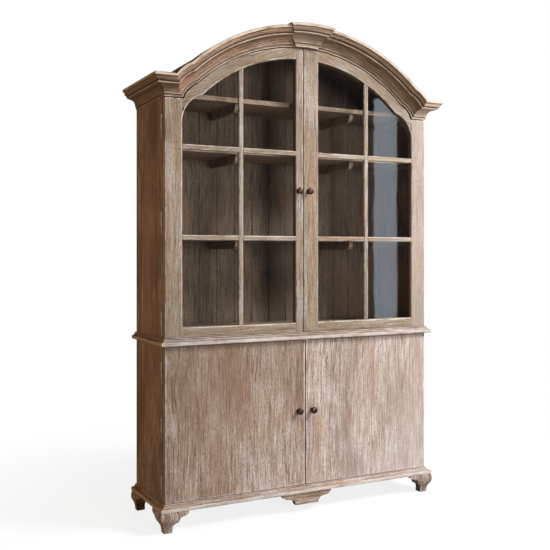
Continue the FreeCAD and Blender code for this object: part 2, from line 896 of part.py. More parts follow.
def build_upper_door(hand, sign, seam, stile_width):
    """A glazed door; its sizes run from the seam outwards and sign sets them out to the left or right."""
    name = f"upper_{hand}"
    opening = seam + stile_width
    rebate = d.rebate_width
    middle_y = named(f"{name}_rebate_plane", door_front + d.glazing_front)
    bottom = named(f"{name}_bottom", waist_top + d.door_gap)
    ear_top = named(f"{name}_ear_top", ear_level - d.cornice_gap)
    head = arch.grown(-d.cornice_gap)
    shoulder = named(f"{name}_shoulder_radius", d.shoulder_radius - d.cornice_gap)
    turn_x = named(f"{name}_shoulder_x", shoulder_x - d.swing_relief)
    door_cusp = meeting_point(f"{name}_cusp", head, turn_x, shoulder_z, shoulder)
    corner_x = named(f"{name}_corner_x", turn_x + leg(shoulder, ear_top - shoulder_z))
    shoulder_middle = between(corner_x, door_cusp[0])
    on_shoulder = (shoulder_middle, shoulder_z + leg(shoulder, shoulder_middle - turn_x))
    outer_shoulder = d.glass_shoulder_radius + rebate
    nib = named(f"{name}_nib", glass_spring + leg(outer_shoulder, d.glass_shoulder_radius))
    nib_x = named(f"{name}_nib_x", glass_shoulder_x + leg(d.glass_shoulder_radius, nib - glass_spring))
    clear = opening_loop(f"{name}_clear", opening, ZERO)
    wide = opening_loop(f"{name}_wide", opening, rebate)
    edge_test = arris_test(flipped(clear, sign), door_front)

    def layered(label, front_corners, back_corners):
        """A frame piece in two layers: the face, and the back with its rebate for the glass."""
        body = doc.addObject("PartDesign::Body", f"{name}_{label}")
        pad(body, "XZ_Plane", [flipped(back_corners, sign)], door_back, middle_y)
        face = pad(body, "XZ_Plane", [flipped(front_corners, sign)], middle_y, door_front)
        soften(body, "Chamfer", face, edge_test, "Size", d.arris)
        keep(body)
        return body

    nib_middle = between(nib_x, ear_corner)
    layered("hinge_stile", [
        (ear_corner, bottom),
        (half, bottom),
        (half, ear_top),
        (ear_corner, ear_top),
        (ear_corner, nib),
        (nib_x, nib, on_glass_shoulder(d.glass_shoulder_radius, nib_middle)),
        (ear_corner, glass_spring),
    ], [
        (ear_corner + rebate, bottom),
        (half, bottom),
        (half, ear_top),
        (ear_corner, ear_top),
        (ear_corner, nib, on_glass_shoulder(outer_shoulder, ear_corner + rebate / 2)),
        (ear_corner + rebate, glass_spring),
    ])

    def meeting_corners(edge):
        return [
            (seam, bottom),
            (edge, bottom),
            (*head.at(edge), head.at(between(edge, seam))),
            head.at(seam),
        ]

    layered("meeting_stile", meeting_corners(opening), meeting_corners(opening - rebate))

    def rail_corners(edge, top, far_edge):
        return [(edge, bottom), (far_edge, bottom), (far_edge, top), (edge, top)]

    layered("bottom_rail", rail_corners(opening, glass_bottom, ear_corner),
            rail_corners(opening - rebate, glass_bottom - rebate, ear_corner + rebate))

    def arched_corners(inside, edge, last):
        """From the meeting stile out along the opening, then back along the door's top."""
        cusp = inside[3][:2]
        return [
            (*inside[4], inside[3][2]),
            (*cusp, last[0]),
            *last[1:],
            (ear_corner, ear_top),
            (corner_x, ear_top, on_shoulder),
            (*door_cusp, head.at(between(door_cusp[0], edge))),
            head.at(edge),
        ]

    face_end = (on_glass_shoulder(d.glass_shoulder_radius, between(clear[3][0], nib_x)),
                (nib_x, nib), (ear_corner, nib))
    back_end = (on_glass_shoulder(outer_shoulder, between(wide[3][0], ear_corner)), (ear_corner, nib))
    layered("arched_rail", arched_corners(clear, opening, face_end),
            arched_corners(wide, opening - rebate, back_end))

    # Glass in the rebate, and the beads that hold it from behind
    glass_back = named(f"{name}_glass_back", middle_y + d.glass_thickness)
    pane = opening_loop(f"{name}_pane", opening, rebate - d.glass_play)
    keep(prism(f"{name}_glass", "XZ_Plane", [flipped(pane, sign)], glass_back, middle_y))
    bead = opening_loop(f"{name}_bead", opening, rebate - d.bead_play)
    ring = [flipped(bead, sign), flipped(clear, sign)]
    keep(prism(f"{name}_glazing_beads", "XZ_Plane", ring, door_back, glass_back))

    # Glazing bars in front of the glass: one upright, and cross bars butted to it
    bar_face = named(f"{name}_bar_face", door_front + d.bar_setback)
    centre = between(opening, ear_corner)
    left, right = centre - d.bar_width / 2, centre + d.bar_width / 2
    bars = []

    def bar(label, corners, runs_up):
        body = prism(f"{name}_{label}", "XZ_Plane", [flipped(corners, sign)], middle_y, bar_face)

        def long_edge(edge):
            across = edge.BoundBox.XLength if runs_up else edge.BoundBox.ZLength
            return on_plane(edge, bar_face) and across < edge.Length * TOUCHING_SHARE

        soften(body, "Chamfer", body.Tip, long_edge, "Size", d.bar_arris)
        bars.append(body)

    bar("upright", [
        (left, glass_bottom),
        (right, glass_bottom),
        (*glass_arch.at(right), glass_arch.at(centre)),
        glass_arch.at(left),
    ], True)
    for level_name, level in (("low", d.low_bar_height), ("high", d.high_bar_height)):
        low, high = waist_top + level - d.bar_width / 2, waist_top + level + d.bar_width / 2
        for part, start, stop in (("inner", opening, left), ("outer", right, ear_corner)):
            bar(f"{level_name}_{part}_bar", [(start, low), (stop, low), (stop, high), (start, high)], False)
    keep(group(f"{name}_glazing_bars", bars))


def build_lower_door(hand, sign):
    """A plain panel with softened front edges."""
    edge = d.door_seam / 2
    low = base_top + d.door_gap
    high = waist_bottom - d.door_gap
    corners = [(edge, low), (half, low), (half, high), (edge, high)]
    body = prism(f"lower_{hand}_panel", "XZ_Plane", [flipped(corners, sign)], door_back, door_front)
    soften(body, "Fillet", body.Tip, lambda line: on_plane(line, door_front), "Radius", d.panel_round)
    keep(body)


def build_knob(label, x, z):
    """A turned knob on a round rose, standing on the door's face."""
    body = doc.addObject("PartDesign::Body", label)

    def place(radius_share, length_share):
        return d.knob_radius * radius_share, -(d.knob_length * length_share)

    sketch = draw(body, "XY_Plane", [corners_of(KNOB_SHARES, place)], ZERO)
    feature = body.newObject("PartDesign::Revolution", label + "_turn")
    feature.Profile = sketch
    feature.ReferenceAxis = (sketch, ["V_Axis"])
    for axis, size in (("x", x), ("y", door_front), ("z", z)):
        body.setExpression(f"Placement.Base.{axis}", size.text)
    keep(body)


def build_doors():
    seam_middle = d.upper_seam_shift
    build_upper_door("left", -1, seam_middle + d.door_seam / 2, d.left_meeting_stile)
    build_upper_door("right", 1, d.door_seam / 2 - seam_middle, d.right_meeting_stile)
    upper_z = waist_top + d.upper_knob_height
    upper_inset = d.door_seam / 2 + d.upper_knob_inset
    build_knob("upper_left_knob", -seam_middle - upper_inset, upper_z)
    build_knob("upper_right_knob", upper_inset - seam_middle, upper_z)
    lower_x = d.door_seam / 2 + d.lower_knob_inset
    for hand, sign in (("left", -1), ("right", 1)):
        build_lower_door(hand, sign)
        build_knob(f"lower_{hand}_knob", lower_x * sign, base_top + d.lower_knob_height)


# Hinges: two leaves in the gap behind the door, with their knuckles outside the case
def rod(label, radius, start, end):
    """An upright rod with flats, which its radius reaches at the corners."""
    bar = doc.addObject("Part::Prism", label)
    bar.Polygon = BARREL_FLATS
    bar.setExpression("Circumradius", radius.text)
    bar.setExpression("Height", (end - start).text)
    bar.setExpression("Placement.Base.z", start.text)
    return bar


def build_leaf(label, knuckles, plate):
    """One leaf about the pin's axis, for the right-hand side, with a knuckle at each of the given places."""
    pitch = d.hinge_height / KNUCKLES
    low = -d.hinge_height / 2
    flat_share = math.cos(math.pi / BARREL_FLATS)
    bore_radius = (d.pin_radius + d.pin_play) / flat_share
    face_x = -(d.barrel_radius + d.barrel_play)
    height = (low, d.hinge_height / 2)
    pieces = [board(f"{label}_plate", (face_x - d.leaf_width, face_x), plate, height)]
    for place in knuckles:
        start = low + pitch * place + d.barrel_play / 2
        end = low + pitch * (place + 1) - d.barrel_play / 2
        pieces.append(board(f"{label}_tab_{place}", (face_x, ZERO), plate, (start, end)))
        pieces.append(rod(f"{label}_barrel_{place}", d.barrel_radius, start, end))
    whole = doc.addObject("Part::MultiFuse", f"{label}_whole")
    whole.Shapes = pieces
    leaf = doc.addObject("Part::Cut", label)
    leaf.Base = whole
    leaf.Tool = rod(f"{label}_bore", bore_radius, low - d.overrun, d.overrun - low)
    return leaf


def build_hinges():
    axis_x = named("hinge_axis_x", half + d.barrel_radius + d.barrel_play)
    axis_y = named("hinge_axis_y", front - d.hinge_gap / 2)
    half_gap = d.hinge_gap / 2
    case_leaf = build_leaf("case_leaf", range(0, KNUCKLES, 2), (half_gap - d.leaf_thickness, half_gap))
    door_leaf = build_leaf("door_leaf", range(1, KNUCKLES, 2), (-half_gap, d.leaf_thickness - half_gap))
    reach = d.hinge_height / 2 + d.pin_tip
    pin = rod("hinge_pin", d.pin_radius, -reach, reach)
    lower_levels = (d.lower_hinge_low, d.lower_hinge_middle, d.lower_hinge_high)
    upper_levels = (d.upper_hinge_low, d.upper_hinge_middle, d.upper_hinge_high)
    heights = {
        "lower": [base_top + level for level in lower_levels],
        "upper": [waist_top + level for level in upper_levels],
    }

    def copies(piece, level, hand):
        """The piece at each hinge of one door; the left-hand ones are turned half round front to back."""
        links = []
        for z in heights[level]:
            link = doc.addObject("App::Link", f"{level}_{hand}_{piece.Name}")
            link.LinkedObject = piece
            if hand == "left":
                link.Placement = FreeCAD.Placement(
                    FreeCAD.Vector(), FreeCAD.Rotation(FreeCAD.Vector(0, 1, 0), 180))
            x = axis_x if hand == "right" else -axis_x
            for axis, size in (("x", x), ("y", axis_y), ("z", z)):
                link.setExpression(f"Placement.Base.{axis}", size.text)
            links.append(link)
        return links

    doors = [(level, hand) for level in heights for hand in ("left", "right")]
    keep(group("hinge_case_leaves", [link for door in doors for link in copies(case_leaf, *door)]))
    keep(group("hinge_pins", [link for door in doors for link in copies(pin, *door)]))
    for level, hand in doors:
        keep(group(f"{level}_{hand}_hinge_leaves", copies(door_leaf, level, hand)))


def build_catches():
    """Blocks just behind the doors: under the waist board and on the glazed case's floor."""
    across = (d.catch_inset, d.catch_inset + d.catch_width)
    deep = (door_back + d.catch_play, front + d.catch_depth)
    floor = waist_top + d.upper_floor_thickness
    catches = []
    for level, height in (("lower", (waist_bottom - d.catch_height, waist_bottom)),
                          ("upper", (floor, floor + d.catch_height))):
        catches.append(board(f"{level}_right_catch", across, deep, height))
        catches.append(board(f"{level}_left_catch", (-across[1], -across[0]), deep, height))
    keep(group("door_catches", catches))


build_case()
build_shelves()
build_arched_head()
build_cornice()
build_moulding("waist_moulding", WAIST_SHARES, d.waist_projection, waist_bottom, d.waist_thickness)
build_moulding("base_moulding", BASE_SHARES, d.base_projection, d.foot_height, d.base_thickness)
build_feet()
build_centre_drop()
build_doors()
build_hinges()
build_catches()
doc.recompute()

for item in doc.Objects:
    if "Invalid" in item.State or "Error" in item.State:
        raise RuntimeError(f"{item.Label} failed: {item.State}")
for node in nodes:
    if node.Shape.isNull() or not node.Shape.isValid():
        raise RuntimeError(f"{node.Label} has no valid shape")
os.makedirs("parts", exist_ok=True)
for node in nodes:
    node.Shape.exportStep(f"parts/{node.Label}.step")
print(len(nodes), "nodes,", sum(len(node.Shape.Solids) for node in nodes), "solids")
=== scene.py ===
"""China cabinet: an arched glazed top on a closed base, in limed oak."""
import math

import bpy
import numpy as np
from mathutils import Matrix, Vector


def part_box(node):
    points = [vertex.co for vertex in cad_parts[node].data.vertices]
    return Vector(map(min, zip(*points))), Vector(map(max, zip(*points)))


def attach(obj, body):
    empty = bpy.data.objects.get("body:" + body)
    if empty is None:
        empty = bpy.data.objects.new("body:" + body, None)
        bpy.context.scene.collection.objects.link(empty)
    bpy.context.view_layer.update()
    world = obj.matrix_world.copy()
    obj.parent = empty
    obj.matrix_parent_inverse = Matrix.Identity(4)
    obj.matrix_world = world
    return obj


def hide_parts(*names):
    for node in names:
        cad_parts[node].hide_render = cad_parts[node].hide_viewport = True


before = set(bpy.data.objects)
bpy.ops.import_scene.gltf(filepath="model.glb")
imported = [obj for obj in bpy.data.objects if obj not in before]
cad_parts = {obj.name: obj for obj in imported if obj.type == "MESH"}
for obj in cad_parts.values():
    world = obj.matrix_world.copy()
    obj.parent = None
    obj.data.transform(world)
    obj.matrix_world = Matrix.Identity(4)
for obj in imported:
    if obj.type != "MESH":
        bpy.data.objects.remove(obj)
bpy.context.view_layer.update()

# Driving sizes in metres
EAR_WIDTH = 0.077
ARCH_RISE = 0.275
SHOULDER_RADIUS = 0.109
SHOULDER_DROP = 0.036
SPRING_SHARE = 0.338
CORNICE_PROUD = 0.004
CORNICE_RUN = 0.062
CORNICE_HEIGHT = 0.086
KEYSTONE_PROUD = 0.014
KEYSTONE_RISE = 0.006
KEYSTONE_FOOT = 0.058
KEYSTONE_HEAD = 0.118
RAIL_WIDTH = 0.053
GLASS_DROP = 0.103
GLASS_SHOULDER = 0.127
CORNICE_GAP = 0.004
SWING_RELIEF = 0.004
ROOF_FOOT = 0.057
ROOF_THICKNESS = 0.016
REBATE = 0.009
GLAZING_FRONT = 0.015
SIGHT_ARRIS = 0.0045
SOFT_ARRIS = 0.0016
JOINT_ARRIS = 0.0006
BACK_ARRIS = 0.002
MOULDING_ARRIS = 0.0013
ROOF_ARRIS = 0.001
FRAME_EASE = 0.0012
FRAME_BAND = 0.006
OUTER_BAND = 0.008
BAR_WIDTH = 0.022
BAR_BEVEL = 0.0042
BAR_BAND = 0.003
LOW_BAR, HIGH_BAR = 0.423, 0.806
PANEL_ROUND = 0.0026
PANEL_BACK_ARRIS = 0.001
WEAR_AND_SHADE_BAND = 0.012
SHADED_ENDS = 0.004, 0.012
BACK_BOARDS = 14
FLOOR_REACH = 40.0
SHADOW_REACH = 0.7, 2.4

# Edges that turn by more than this are drawn sharp
SHARP = math.radians(34)

# Fall of the grain in the arched rails for each metre along them
RAIL_FALL = 0.42

# Share of the floor's shadow that shows on its white
SHADOW_SHARE = 0.17

# Tone: above 0 is browner, below 0 is paler; a fade is the change for each metre towards the right
# Tones are partly the wood's own and partly painted light and shade; the fades paint light falling off towards
# the left
FADE = -0.34
# The frame's rails and meeting stile are browner, partly as painted shade
FRAME_TONE = {"hinge_stile": 0.02, "meeting_stile": 0.20, "bottom_rail": 0.27, "arched_rail": 0.32,
              "bars": 0.10}
MOULDING_TONE = {"waist": 0.28, "base": 0.08}
# The returns' tone and the right arch's fade paint shade; the ears' fade paints light from the right
ARCH_TONE, EAR_TONE, RETURN_TONE, KEYSTONE_TONE, ROOF_TONE = 0.06, 0.12, 0.5, -0.12, 0.2
ARCH_FADE = {"left": FADE / 3, "right": 0.7}
EAR_FADE = FADE * 2.2

# Arris values below 0 paint shade: on the cornice's top edge, and as a painted shadow on the lower doors' edge
# under the waist
TOP_SHADE = -0.45
SHADED_TOP = -0.42

# Tone, fade, and change for each metre up, of the lower doors: the fade is painted light from the right, the
# rise is painted shade under the waist moulding
PANEL_TONE = {"left": (-0.02, -0.46, 0.45), "right": (-0.11, -0.32, 0.20)}

# How far apart two pieces lie in the grain, so that no two look the same
GRAIN_STEP = np.array((0.37, 0.271))

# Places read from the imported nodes
side_low, side_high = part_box("upper_right_side")
HALF = side_high[0]
FRONT, BACK = side_low[1], side_high[1]
panel_low, panel_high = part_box("lower_right_panel")
DOOR_FRONT, DOOR_BACK = panel_low[1], panel_high[1]
EAR_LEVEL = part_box("cornice_right_ear")[0][2]
ARCH_TOP = EAR_LEVEL + ARCH_RISE
EAR_CORNER = HALF - EAR_WIDTH
SHOULDER_X = EAR_CORNER - math.sqrt(SHOULDER_RADIUS ** 2 - SHOULDER_DROP ** 2)
SHOULDER_Z = EAR_LEVEL - SHOULDER_DROP
SPRING_X = SHOULDER_X + SHOULDER_RADIUS * SPRING_SHARE
SPRING_Z = SHOULDER_Z + SHOULDER_RADIUS * math.sqrt(1 - SPRING_SHARE ** 2)
SAG = ARCH_TOP - SPRING_Z
ARCH_RADIUS = (SPRING_X ** 2 + SAG ** 2) / (2 * SAG)
ARCH_CENTRE = ARCH_TOP - ARCH_RADIUS
GLASS_SPRING = EAR_LEVEL - GLASS_DROP
GLASS_X = EAR_CORNER - GLASS_SHOULDER

# Moulding profiles as shares of run and height; a third entry is where the curve to the next corner passes
CORNICE = (
    (0.00, 0.00), (0.00, 0.14), (0.05, 0.14, (0.12, 0.36)), (0.36, 0.49), (0.60, 0.53), (0.68, 0.56),
    (0.68, 0.63), (0.72, 0.65, (0.80, 0.68)), (0.85, 0.75, (0.89, 0.83)), (0.96, 0.86), (1.00, 0.86),
    (1.00, 1.00),
)
WAIST = (
    (0.00, 0.00), (0.87, 0.00), (1.00, 0.10), (1.00, 0.46), (0.88, 0.52, (0.58, 0.60)), (0.42, 0.80),
    (0.34, 0.84), (0.34, 1.00), (0.00, 1.00),
)
BASE = (
    (0.00, 0.00), (0.92, 0.00), (1.00, 0.08), (1.00, 0.48), (0.88, 0.54, (0.42, 0.66)), (0.22, 0.94),
    (0.22, 1.00), (0.00, 1.00),
)
KNOB = (
    (0.66, 0.00), (0.66, 0.09), (0.46, 0.12), (0.37, 0.21), (0.34, 0.34), (0.40, 0.45), (0.62, 0.53),
    (0.88, 0.60), (0.98, 0.67), (1.00, 0.74), (0.95, 0.83), (0.80, 0.91), (0.55, 0.965), (0.25, 0.992),
)


def srgb(red, green, blue):
    """Display values from 0 to 255 as linear light, by the display's power curve."""
    shares = np.array((red, green, blue)) / 255
    linear = np.where(shares <= 0.04045, shares / 12.92, ((shares + 0.055) / 1.055) ** 2.4)
    return (*linear.tolist(), 1.0)


class Signal:
    """A shader socket whose arithmetic adds Math nodes to its material."""

    def __init__(self, tree, socket=None):
        self.tree = tree
        self.socket = socket

    def make(self, kind, settings=None, inputs=None, output=0):
        """Adds any node: its settings first, then its sockets' values or links."""
        node = self.tree.nodes.new(kind)
        for key, value in (settings or {}).items():
            setattr(node, key, value)
        for key, value in (inputs or {}).items():
            if isinstance(value, Signal):
                self.tree.links.new(value.socket, node.inputs[key])
            else:
                node.inputs[key].default_value = value
        return Signal(self.tree, node.outputs[output]) if len(node.outputs) else node

    def math(self, operation, first, second):
        """A Math node on two values or signals."""
        return self.make("ShaderNodeMath", {"operation": operation}, {0: first, 1: second})

    def __add__(self, other):
        return self.math("ADD", self, other)

    def __radd__(self, other):
        return self.math("ADD", other, self)

    def __sub__(self, other):
        return self.math("SUBTRACT", self, other)

    def __rsub__(self, other):
        return self.math("SUBTRACT", other, self)

    def __mul__(self, other):
        return self.math("MULTIPLY", self, other)

    def __rmul__(self, other):
        return self.math("MULTIPLY", other, self)

    def step(self, low, high):
        """0 below low and 1 above high, with a smooth change between."""
        return self.make("ShaderNodeMapRange", {"interpolation_type": "SMOOTHSTEP"},
                         {"Value": self, "From Min": low, "From Max": high})

    def tint(self, colour, other, share):
        """Colour turned to another colour by a share."""
        return self.make("ShaderNodeMix", {"data_type": "RGBA"}, {0: share, 6: colour, 7: other}, 2)


def blank(name):
    """An empty material and the signal that adds its nodes."""
    material = bpy.data.materials.new(name)
    material.use_nodes = True
    material.node_tree.nodes.clear()
    return material, Signal(material.node_tree)


def surface(paint, shader):
    """Leads a shader to the material's output."""
    paint.make("ShaderNodeOutputMaterial", None, {"Surface": shader})


def oak(name, reads, wood, pale, brown, lime, lime_share=0.5, contrast=1.0, plank=0.0, wear_and_highlight=0.42):
    """Limed oak. Layers of noise stretched along the grain mix the wood with paler bands, brown lines, flecks,
    fibres, patches and pores, and with the lime left in washes, lines and dashes.
    The tone value makes it browner or paler. The arris value pales the edges, from rubbing and as painted
    highlight, and darkens the hollows, as dirt and as painted shade.
    Reads is "grain" for a piece's own UV map, or the axis that the grain of a plain node follows.
    With a plank width, each plank across the grain has a tone of its own. wear_and_highlight is how pale the
    edges get, from rubbing and as painted highlight."""
    material, paint = blank(name)
    if reads == "grain":
        place = paint.make("ShaderNodeUVMap", {"uv_map": "grain"})
    else:
        place = paint.make("ShaderNodeTexCoord", None, None, 3)
    axes = [paint.make("ShaderNodeSeparateXYZ", None, {0: place}, index) for index in range(3)]
    if reads == "grain":
        along, across = axes[0], axes[1]
    else:
        along = axes.pop("xyz".index(reads))
        across = axes[0] + axes[1]

    def stretched(along_scale, across_scale, detail, roughness=0.6, layer=0.0):
        """Noise with its own scales along and across the grain, cut at one layer."""
        spot = paint.make("ShaderNodeCombineXYZ", None,
                          {0: along * along_scale, 1: across * across_scale, 2: layer})
        return paint.make("ShaderNodeTexNoise", None,
                          {"Vector": spot, "Scale": 1.0, "Detail": detail, "Roughness": roughness})

    across = across + (stretched(2.2, 3.2, 2.0, 0.5, 9.0) - 0.5) * 0.05
    patch = stretched(2.2, 5.5, 5.0, 0.65)
    wash = stretched(2.4, 5.0, 4.0, 0.6, 3.1)
    blush = stretched(2.0, 4.6, 4.0, 0.6, 7.7)
    band = stretched(1.4, 26.0, 4.0, 0.6, 2.2)
    line = stretched(6.5, 250.0, 4.0, 0.68, 1.3)
    pale_line = stretched(7.5, 210.0, 4.0, 0.68, 5.5)
    dash = stretched(15.0, 190.0, 4.0, 0.7, 4.4)
    fleck = stretched(70.0, 230.0, 2.0, 0.6, 6.1)
    fibre = stretched(12.0, 420.0, 3.0, 0.65)
    pore = stretched(34.0, 900.0, 2.0).step(0.60, 0.70)
    filled = stretched(17.0, 480.0, 3.0, 0.6, 8.3)
    arris = paint.make("ShaderNodeAttribute", {"attribute_name": "arris"}, None, 2)
    tone = paint.make("ShaderNodeAttribute", {"attribute_name": "tone"}, None, 2)
    rubbed = stretched(14.0, 60.0, 3.0)

    colour = paint.tint(wood, pale, band.step(0.40, 0.66) * (0.48 * contrast))
    colour = paint.tint(colour, lime, wash.step(0.46, 0.64) * (lime_share * 0.9))
    colour = paint.tint(colour, brown, line.step(0.51, 0.60) * contrast)
    colour = paint.tint(colour, lime, pale_line.step(0.54, 0.61) * (lime_share * 1.3))
    colour = paint.tint(colour, lime, dash.step(0.54, 0.64) * (lime_share * 0.5))
    colour = paint.tint(colour, brown, fleck.step(0.52, 0.62) * (0.60 * contrast))
    colour = paint.tint(colour, brown, fibre.step(0.50, 0.78) * (0.45 * contrast))
    colour = paint.tint(colour, lime, filled.step(0.54, 0.68) * (lime_share * 0.5))
    colour = paint.tint(colour, brown, patch.step(0.44, 0.66) * (0.48 * contrast))
    colour = paint.tint(colour, BLUSH, blush.step(0.46, 0.64) * (0.34 * contrast))
    colour = paint.tint(colour, PORE, pore * (0.55 * contrast))
    if plank:
        spot = paint.make("ShaderNodeMath", {"operation": "FLOOR"}, {0: across * (1 / plank)})
        shade = paint.make("ShaderNodeTexWhiteNoise", {"noise_dimensions": "1D"}, {"W": spot})
        colour = paint.tint(colour, brown, shade * 0.55)
    # The tone browns or pales the wood: partly its own tone, partly painted light and shade
    colour = paint.tint(colour, TAN, tone)
    colour = paint.tint(colour, lime, 0.0 - tone)
    # Edges paled by rubbing and as painted highlight; hollows darkened as dirt and as painted shade
    worn_and_lit = (arris + (rubbed - 0.5) * 1.8).step(0.50, 1.20) * wear_and_highlight
    colour = paint.tint(colour, lime, worn_and_lit)
    colour = paint.tint(colour, HOLLOW_DIRT_AND_SHADE, (0.0 - arris).step(0.10, 0.7) * 0.92)
    rough = 0.62 + fibre * 0.16 - worn_and_lit * 0.08
    height = fibre * 0.5 - pore - line.step(0.52, 0.64) * 0.7
    normal = paint.make("ShaderNodeBump", None, {"Strength": 0.45, "Distance": 0.0007, "Height": height})
    surface(paint, paint.make("ShaderNodeBsdfPrincipled", None, {
        "Base Color": colour, "Roughness": rough, "Normal": normal, "Specular IOR Level": 0.32}))
    return material


def aged_metal(name, base, bright, rough):
    """Old metal: one colour, rubbed bright in cloudy patches that change the roughness too, over specks."""
    material, paint = blank(name)
    place = paint.make("ShaderNodeTexCoord", None, None, 3)
    cloud = paint.make("ShaderNodeTexNoise", None, {"Vector": place, "Scale": 160.0, "Detail": 4.0})
    speck = paint.make("ShaderNodeTexNoise", None, {"Vector": place, "Scale": 900.0, "Detail": 2.0})
    colour = paint.tint(base, bright, cloud.step(0.46, 0.70) * 0.7)
    normal = paint.make("ShaderNodeBump", None, {"Strength": 0.3, "Distance": 0.0003, "Height": speck})
    surface(paint, paint.make("ShaderNodeBsdfPrincipled", None, {
        "Base Color": colour, "Metallic": 0.85, "Roughness": rough + cloud * 0.2, "Normal": normal}))
    return material


def pane_glass(name):
    """Clear old glass: see-through, with faint waves; its outward faces reflect by Fresnel's share."""
    material, paint = blank(name)
    place = paint.make("ShaderNodeTexCoord", None, None, 3)
    wave = paint.make("ShaderNodeTexNoise", None, {"Vector": place, "Scale": 7.0, "Detail": 1.0})
    normal = paint.make("ShaderNodeBump", None, {"Strength": 0.05, "Distance": 0.004, "Height": wave})
    inside = paint.make("ShaderNodeNewGeometry", None, None, "Backfacing")
    share = paint.make("ShaderNodeFresnel", None, {"IOR": 1.45, "Normal": normal}) * (1.0 - inside)
    clear = paint.make("ShaderNodeBsdfTransparent", None, {"Color": (0.975, 0.985, 0.98, 1.0)})
    gloss = paint.make("ShaderNodeBsdfGlossy", None, {
        "Color": (0.90, 0.95, 1.0, 1.0), "Roughness": 0.03, "Normal": normal})
    surface(paint, paint.make("ShaderNodeMixShader", None, {0: share, 1: clear, 2: gloss}))
    return material


# Colours that every oak finish shares, then those of the limed oak; the hollow colour is dirt and painted shade
BLUSH, PORE, TAN, HOLLOW_DIRT_AND_SHADE = srgb(142, 104, 81), srgb(58, 40, 28), srgb(90, 68, 44), srgb(40, 27, 19)
WOOD, PALE, BROWN, LIME = srgb(155, 134, 116), srgb(179, 162, 148), srgb(92, 62, 43), srgb(220, 214, 210)
limed_oak = oak("limed_oak", "grain", WOOD, PALE, BROWN, LIME)
# The frame and cornice finishes are browner, partly painted shade towards the top, and their edges paler,
# partly painted highlight
frame_oak = oak("frame_oak", "grain", srgb(143, 123, 98), srgb(167, 149, 123), srgb(80, 62, 44),
                srgb(196, 192, 189), 0.36, 0.85, wear_and_highlight=0.75)
cornice_oak = oak("cornice_oak", "grain", srgb(122, 92, 67), srgb(150, 121, 94), srgb(64, 43, 29),
                  srgb(212, 195, 176), 0.24, wear_and_highlight=0.6)
drop_oak = oak("limed_oak_x", "x", WOOD, PALE, BROWN, LIME)
# The front feet's finish is browner, partly painted shade
foot_oak = oak("limed_oak_z", "z", srgb(138, 114, 96), srgb(165, 145, 130), srgb(76, 50, 35),
               LIME, 0.6, 1.2)

# The sides of the case are browner: partly the wood's own colour, partly painted shade
SHADE = srgb(122, 87, 55), srgb(152, 115, 79), srgb(54, 35, 20), srgb(200, 170, 132), 0.22
side_oak = oak("shaded_oak", "z", *SHADE)
shaded_moulding = oak("shaded_moulding", "grain", *SHADE, 0.8)

# Inside the case: the back boards' finish is darker, partly painted shade
inside_x = oak("inside_oak_x", "x", srgb(136, 115, 97), srgb(160, 139, 120), srgb(84, 66, 53),
               srgb(190, 173, 155), 0.3)
inside_z = oak("inside_oak_z", "z", srgb(108, 89, 74), srgb(130, 111, 94), srgb(64, 49, 39),
               srgb(158, 139, 120), 0.3, plank=2 * side_low[0] / BACK_BOARDS)

# Metal and glass
knob_bronze = aged_metal("knob_bronze", srgb(58, 42, 34), srgb(120, 92, 72), 0.32)
hinge_metal = aged_metal("hinge_metal", srgb(150, 132, 112), srgb(205, 192, 174), 0.45)
glass = pane_glass("pane_glass")


def skin(name, rings, uv, arris, body, slot, material, replaced, tone=0.0, fade=0.0, rise=0.0):
    """A closed surface: rings[i, j] is point j of loop i; quads join the loops, and two flat caps close it.
    The signed volume tells which way round the loops run, so that the faces point outwards.
    The tone changes by the fade for each metre towards +x and by the rise for each metre up."""
    after = np.roll(rings, -1, axis=1)
    first, second, third, fourth = rings[:-1], after[:-1], rings[1:], after[1:]
    volume = np.sum(first * (np.cross(second, fourth) + np.cross(fourth, third)))
    for loop, sign in ((rings[0], -1), (rings[-1], 1)):
        volume += sign * np.sum(np.cross(loop, np.roll(loop, -1, axis=0)) @ loop.mean(axis=0))
    way = 1 if volume > 0 else -1
    count, points = rings.shape[:2]
    index = np.arange(count * points).reshape(count, points)
    turned = np.roll(index, -1, axis=1)
    quads = np.stack((index[:-1], turned[:-1], turned[1:], index[1:]), axis=-1)[..., ::way].reshape(-1, 4)
    caps = [index[0, ::-way].tolist(), index[-1, ::way].tolist()]
    mesh = bpy.data.meshes.new(name)
    mesh.from_pydata(rings.reshape(-1, 3).tolist(), [], quads.tolist() + caps)
    corner = np.stack((uv[:-1, :-1], uv[:-1, 1:], uv[1:, 1:], uv[1:, :-1]), axis=2)[:, :, ::way].reshape(-1, 2)
    ends = np.concatenate((uv[0, :-1][::-way], uv[-1, :-1][::way]))
    layer = mesh.uv_layers.new(name="grain")
    layer.data.foreach_set("uv", np.concatenate((corner, ends)).astype(np.float32).ravel())
    for key, values in (("arris", arris), ("tone", tone + fade * rings[..., 0] + rise * rings[..., 2])):
        spread = mesh.attributes.new(key, "FLOAT", "POINT")
        spread.data.foreach_set("value", values.astype(np.float32).ravel())
    mesh.shade_smooth()
    mesh.set_sharp_from_angle(angle=SHARP)
    mesh.materials.append(material)
    piece = bpy.data.objects.new(name, mesh)
    bpy.context.scene.collection.objects.link(piece)
    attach(piece, body)
    if replaced:
        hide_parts(replaced)
    return piece


def wrapped(values):
    """A grid with its first column again at the end, so that a loop's last face has its own corner."""
    return np.concatenate((values, values[:, :1]), axis=1)


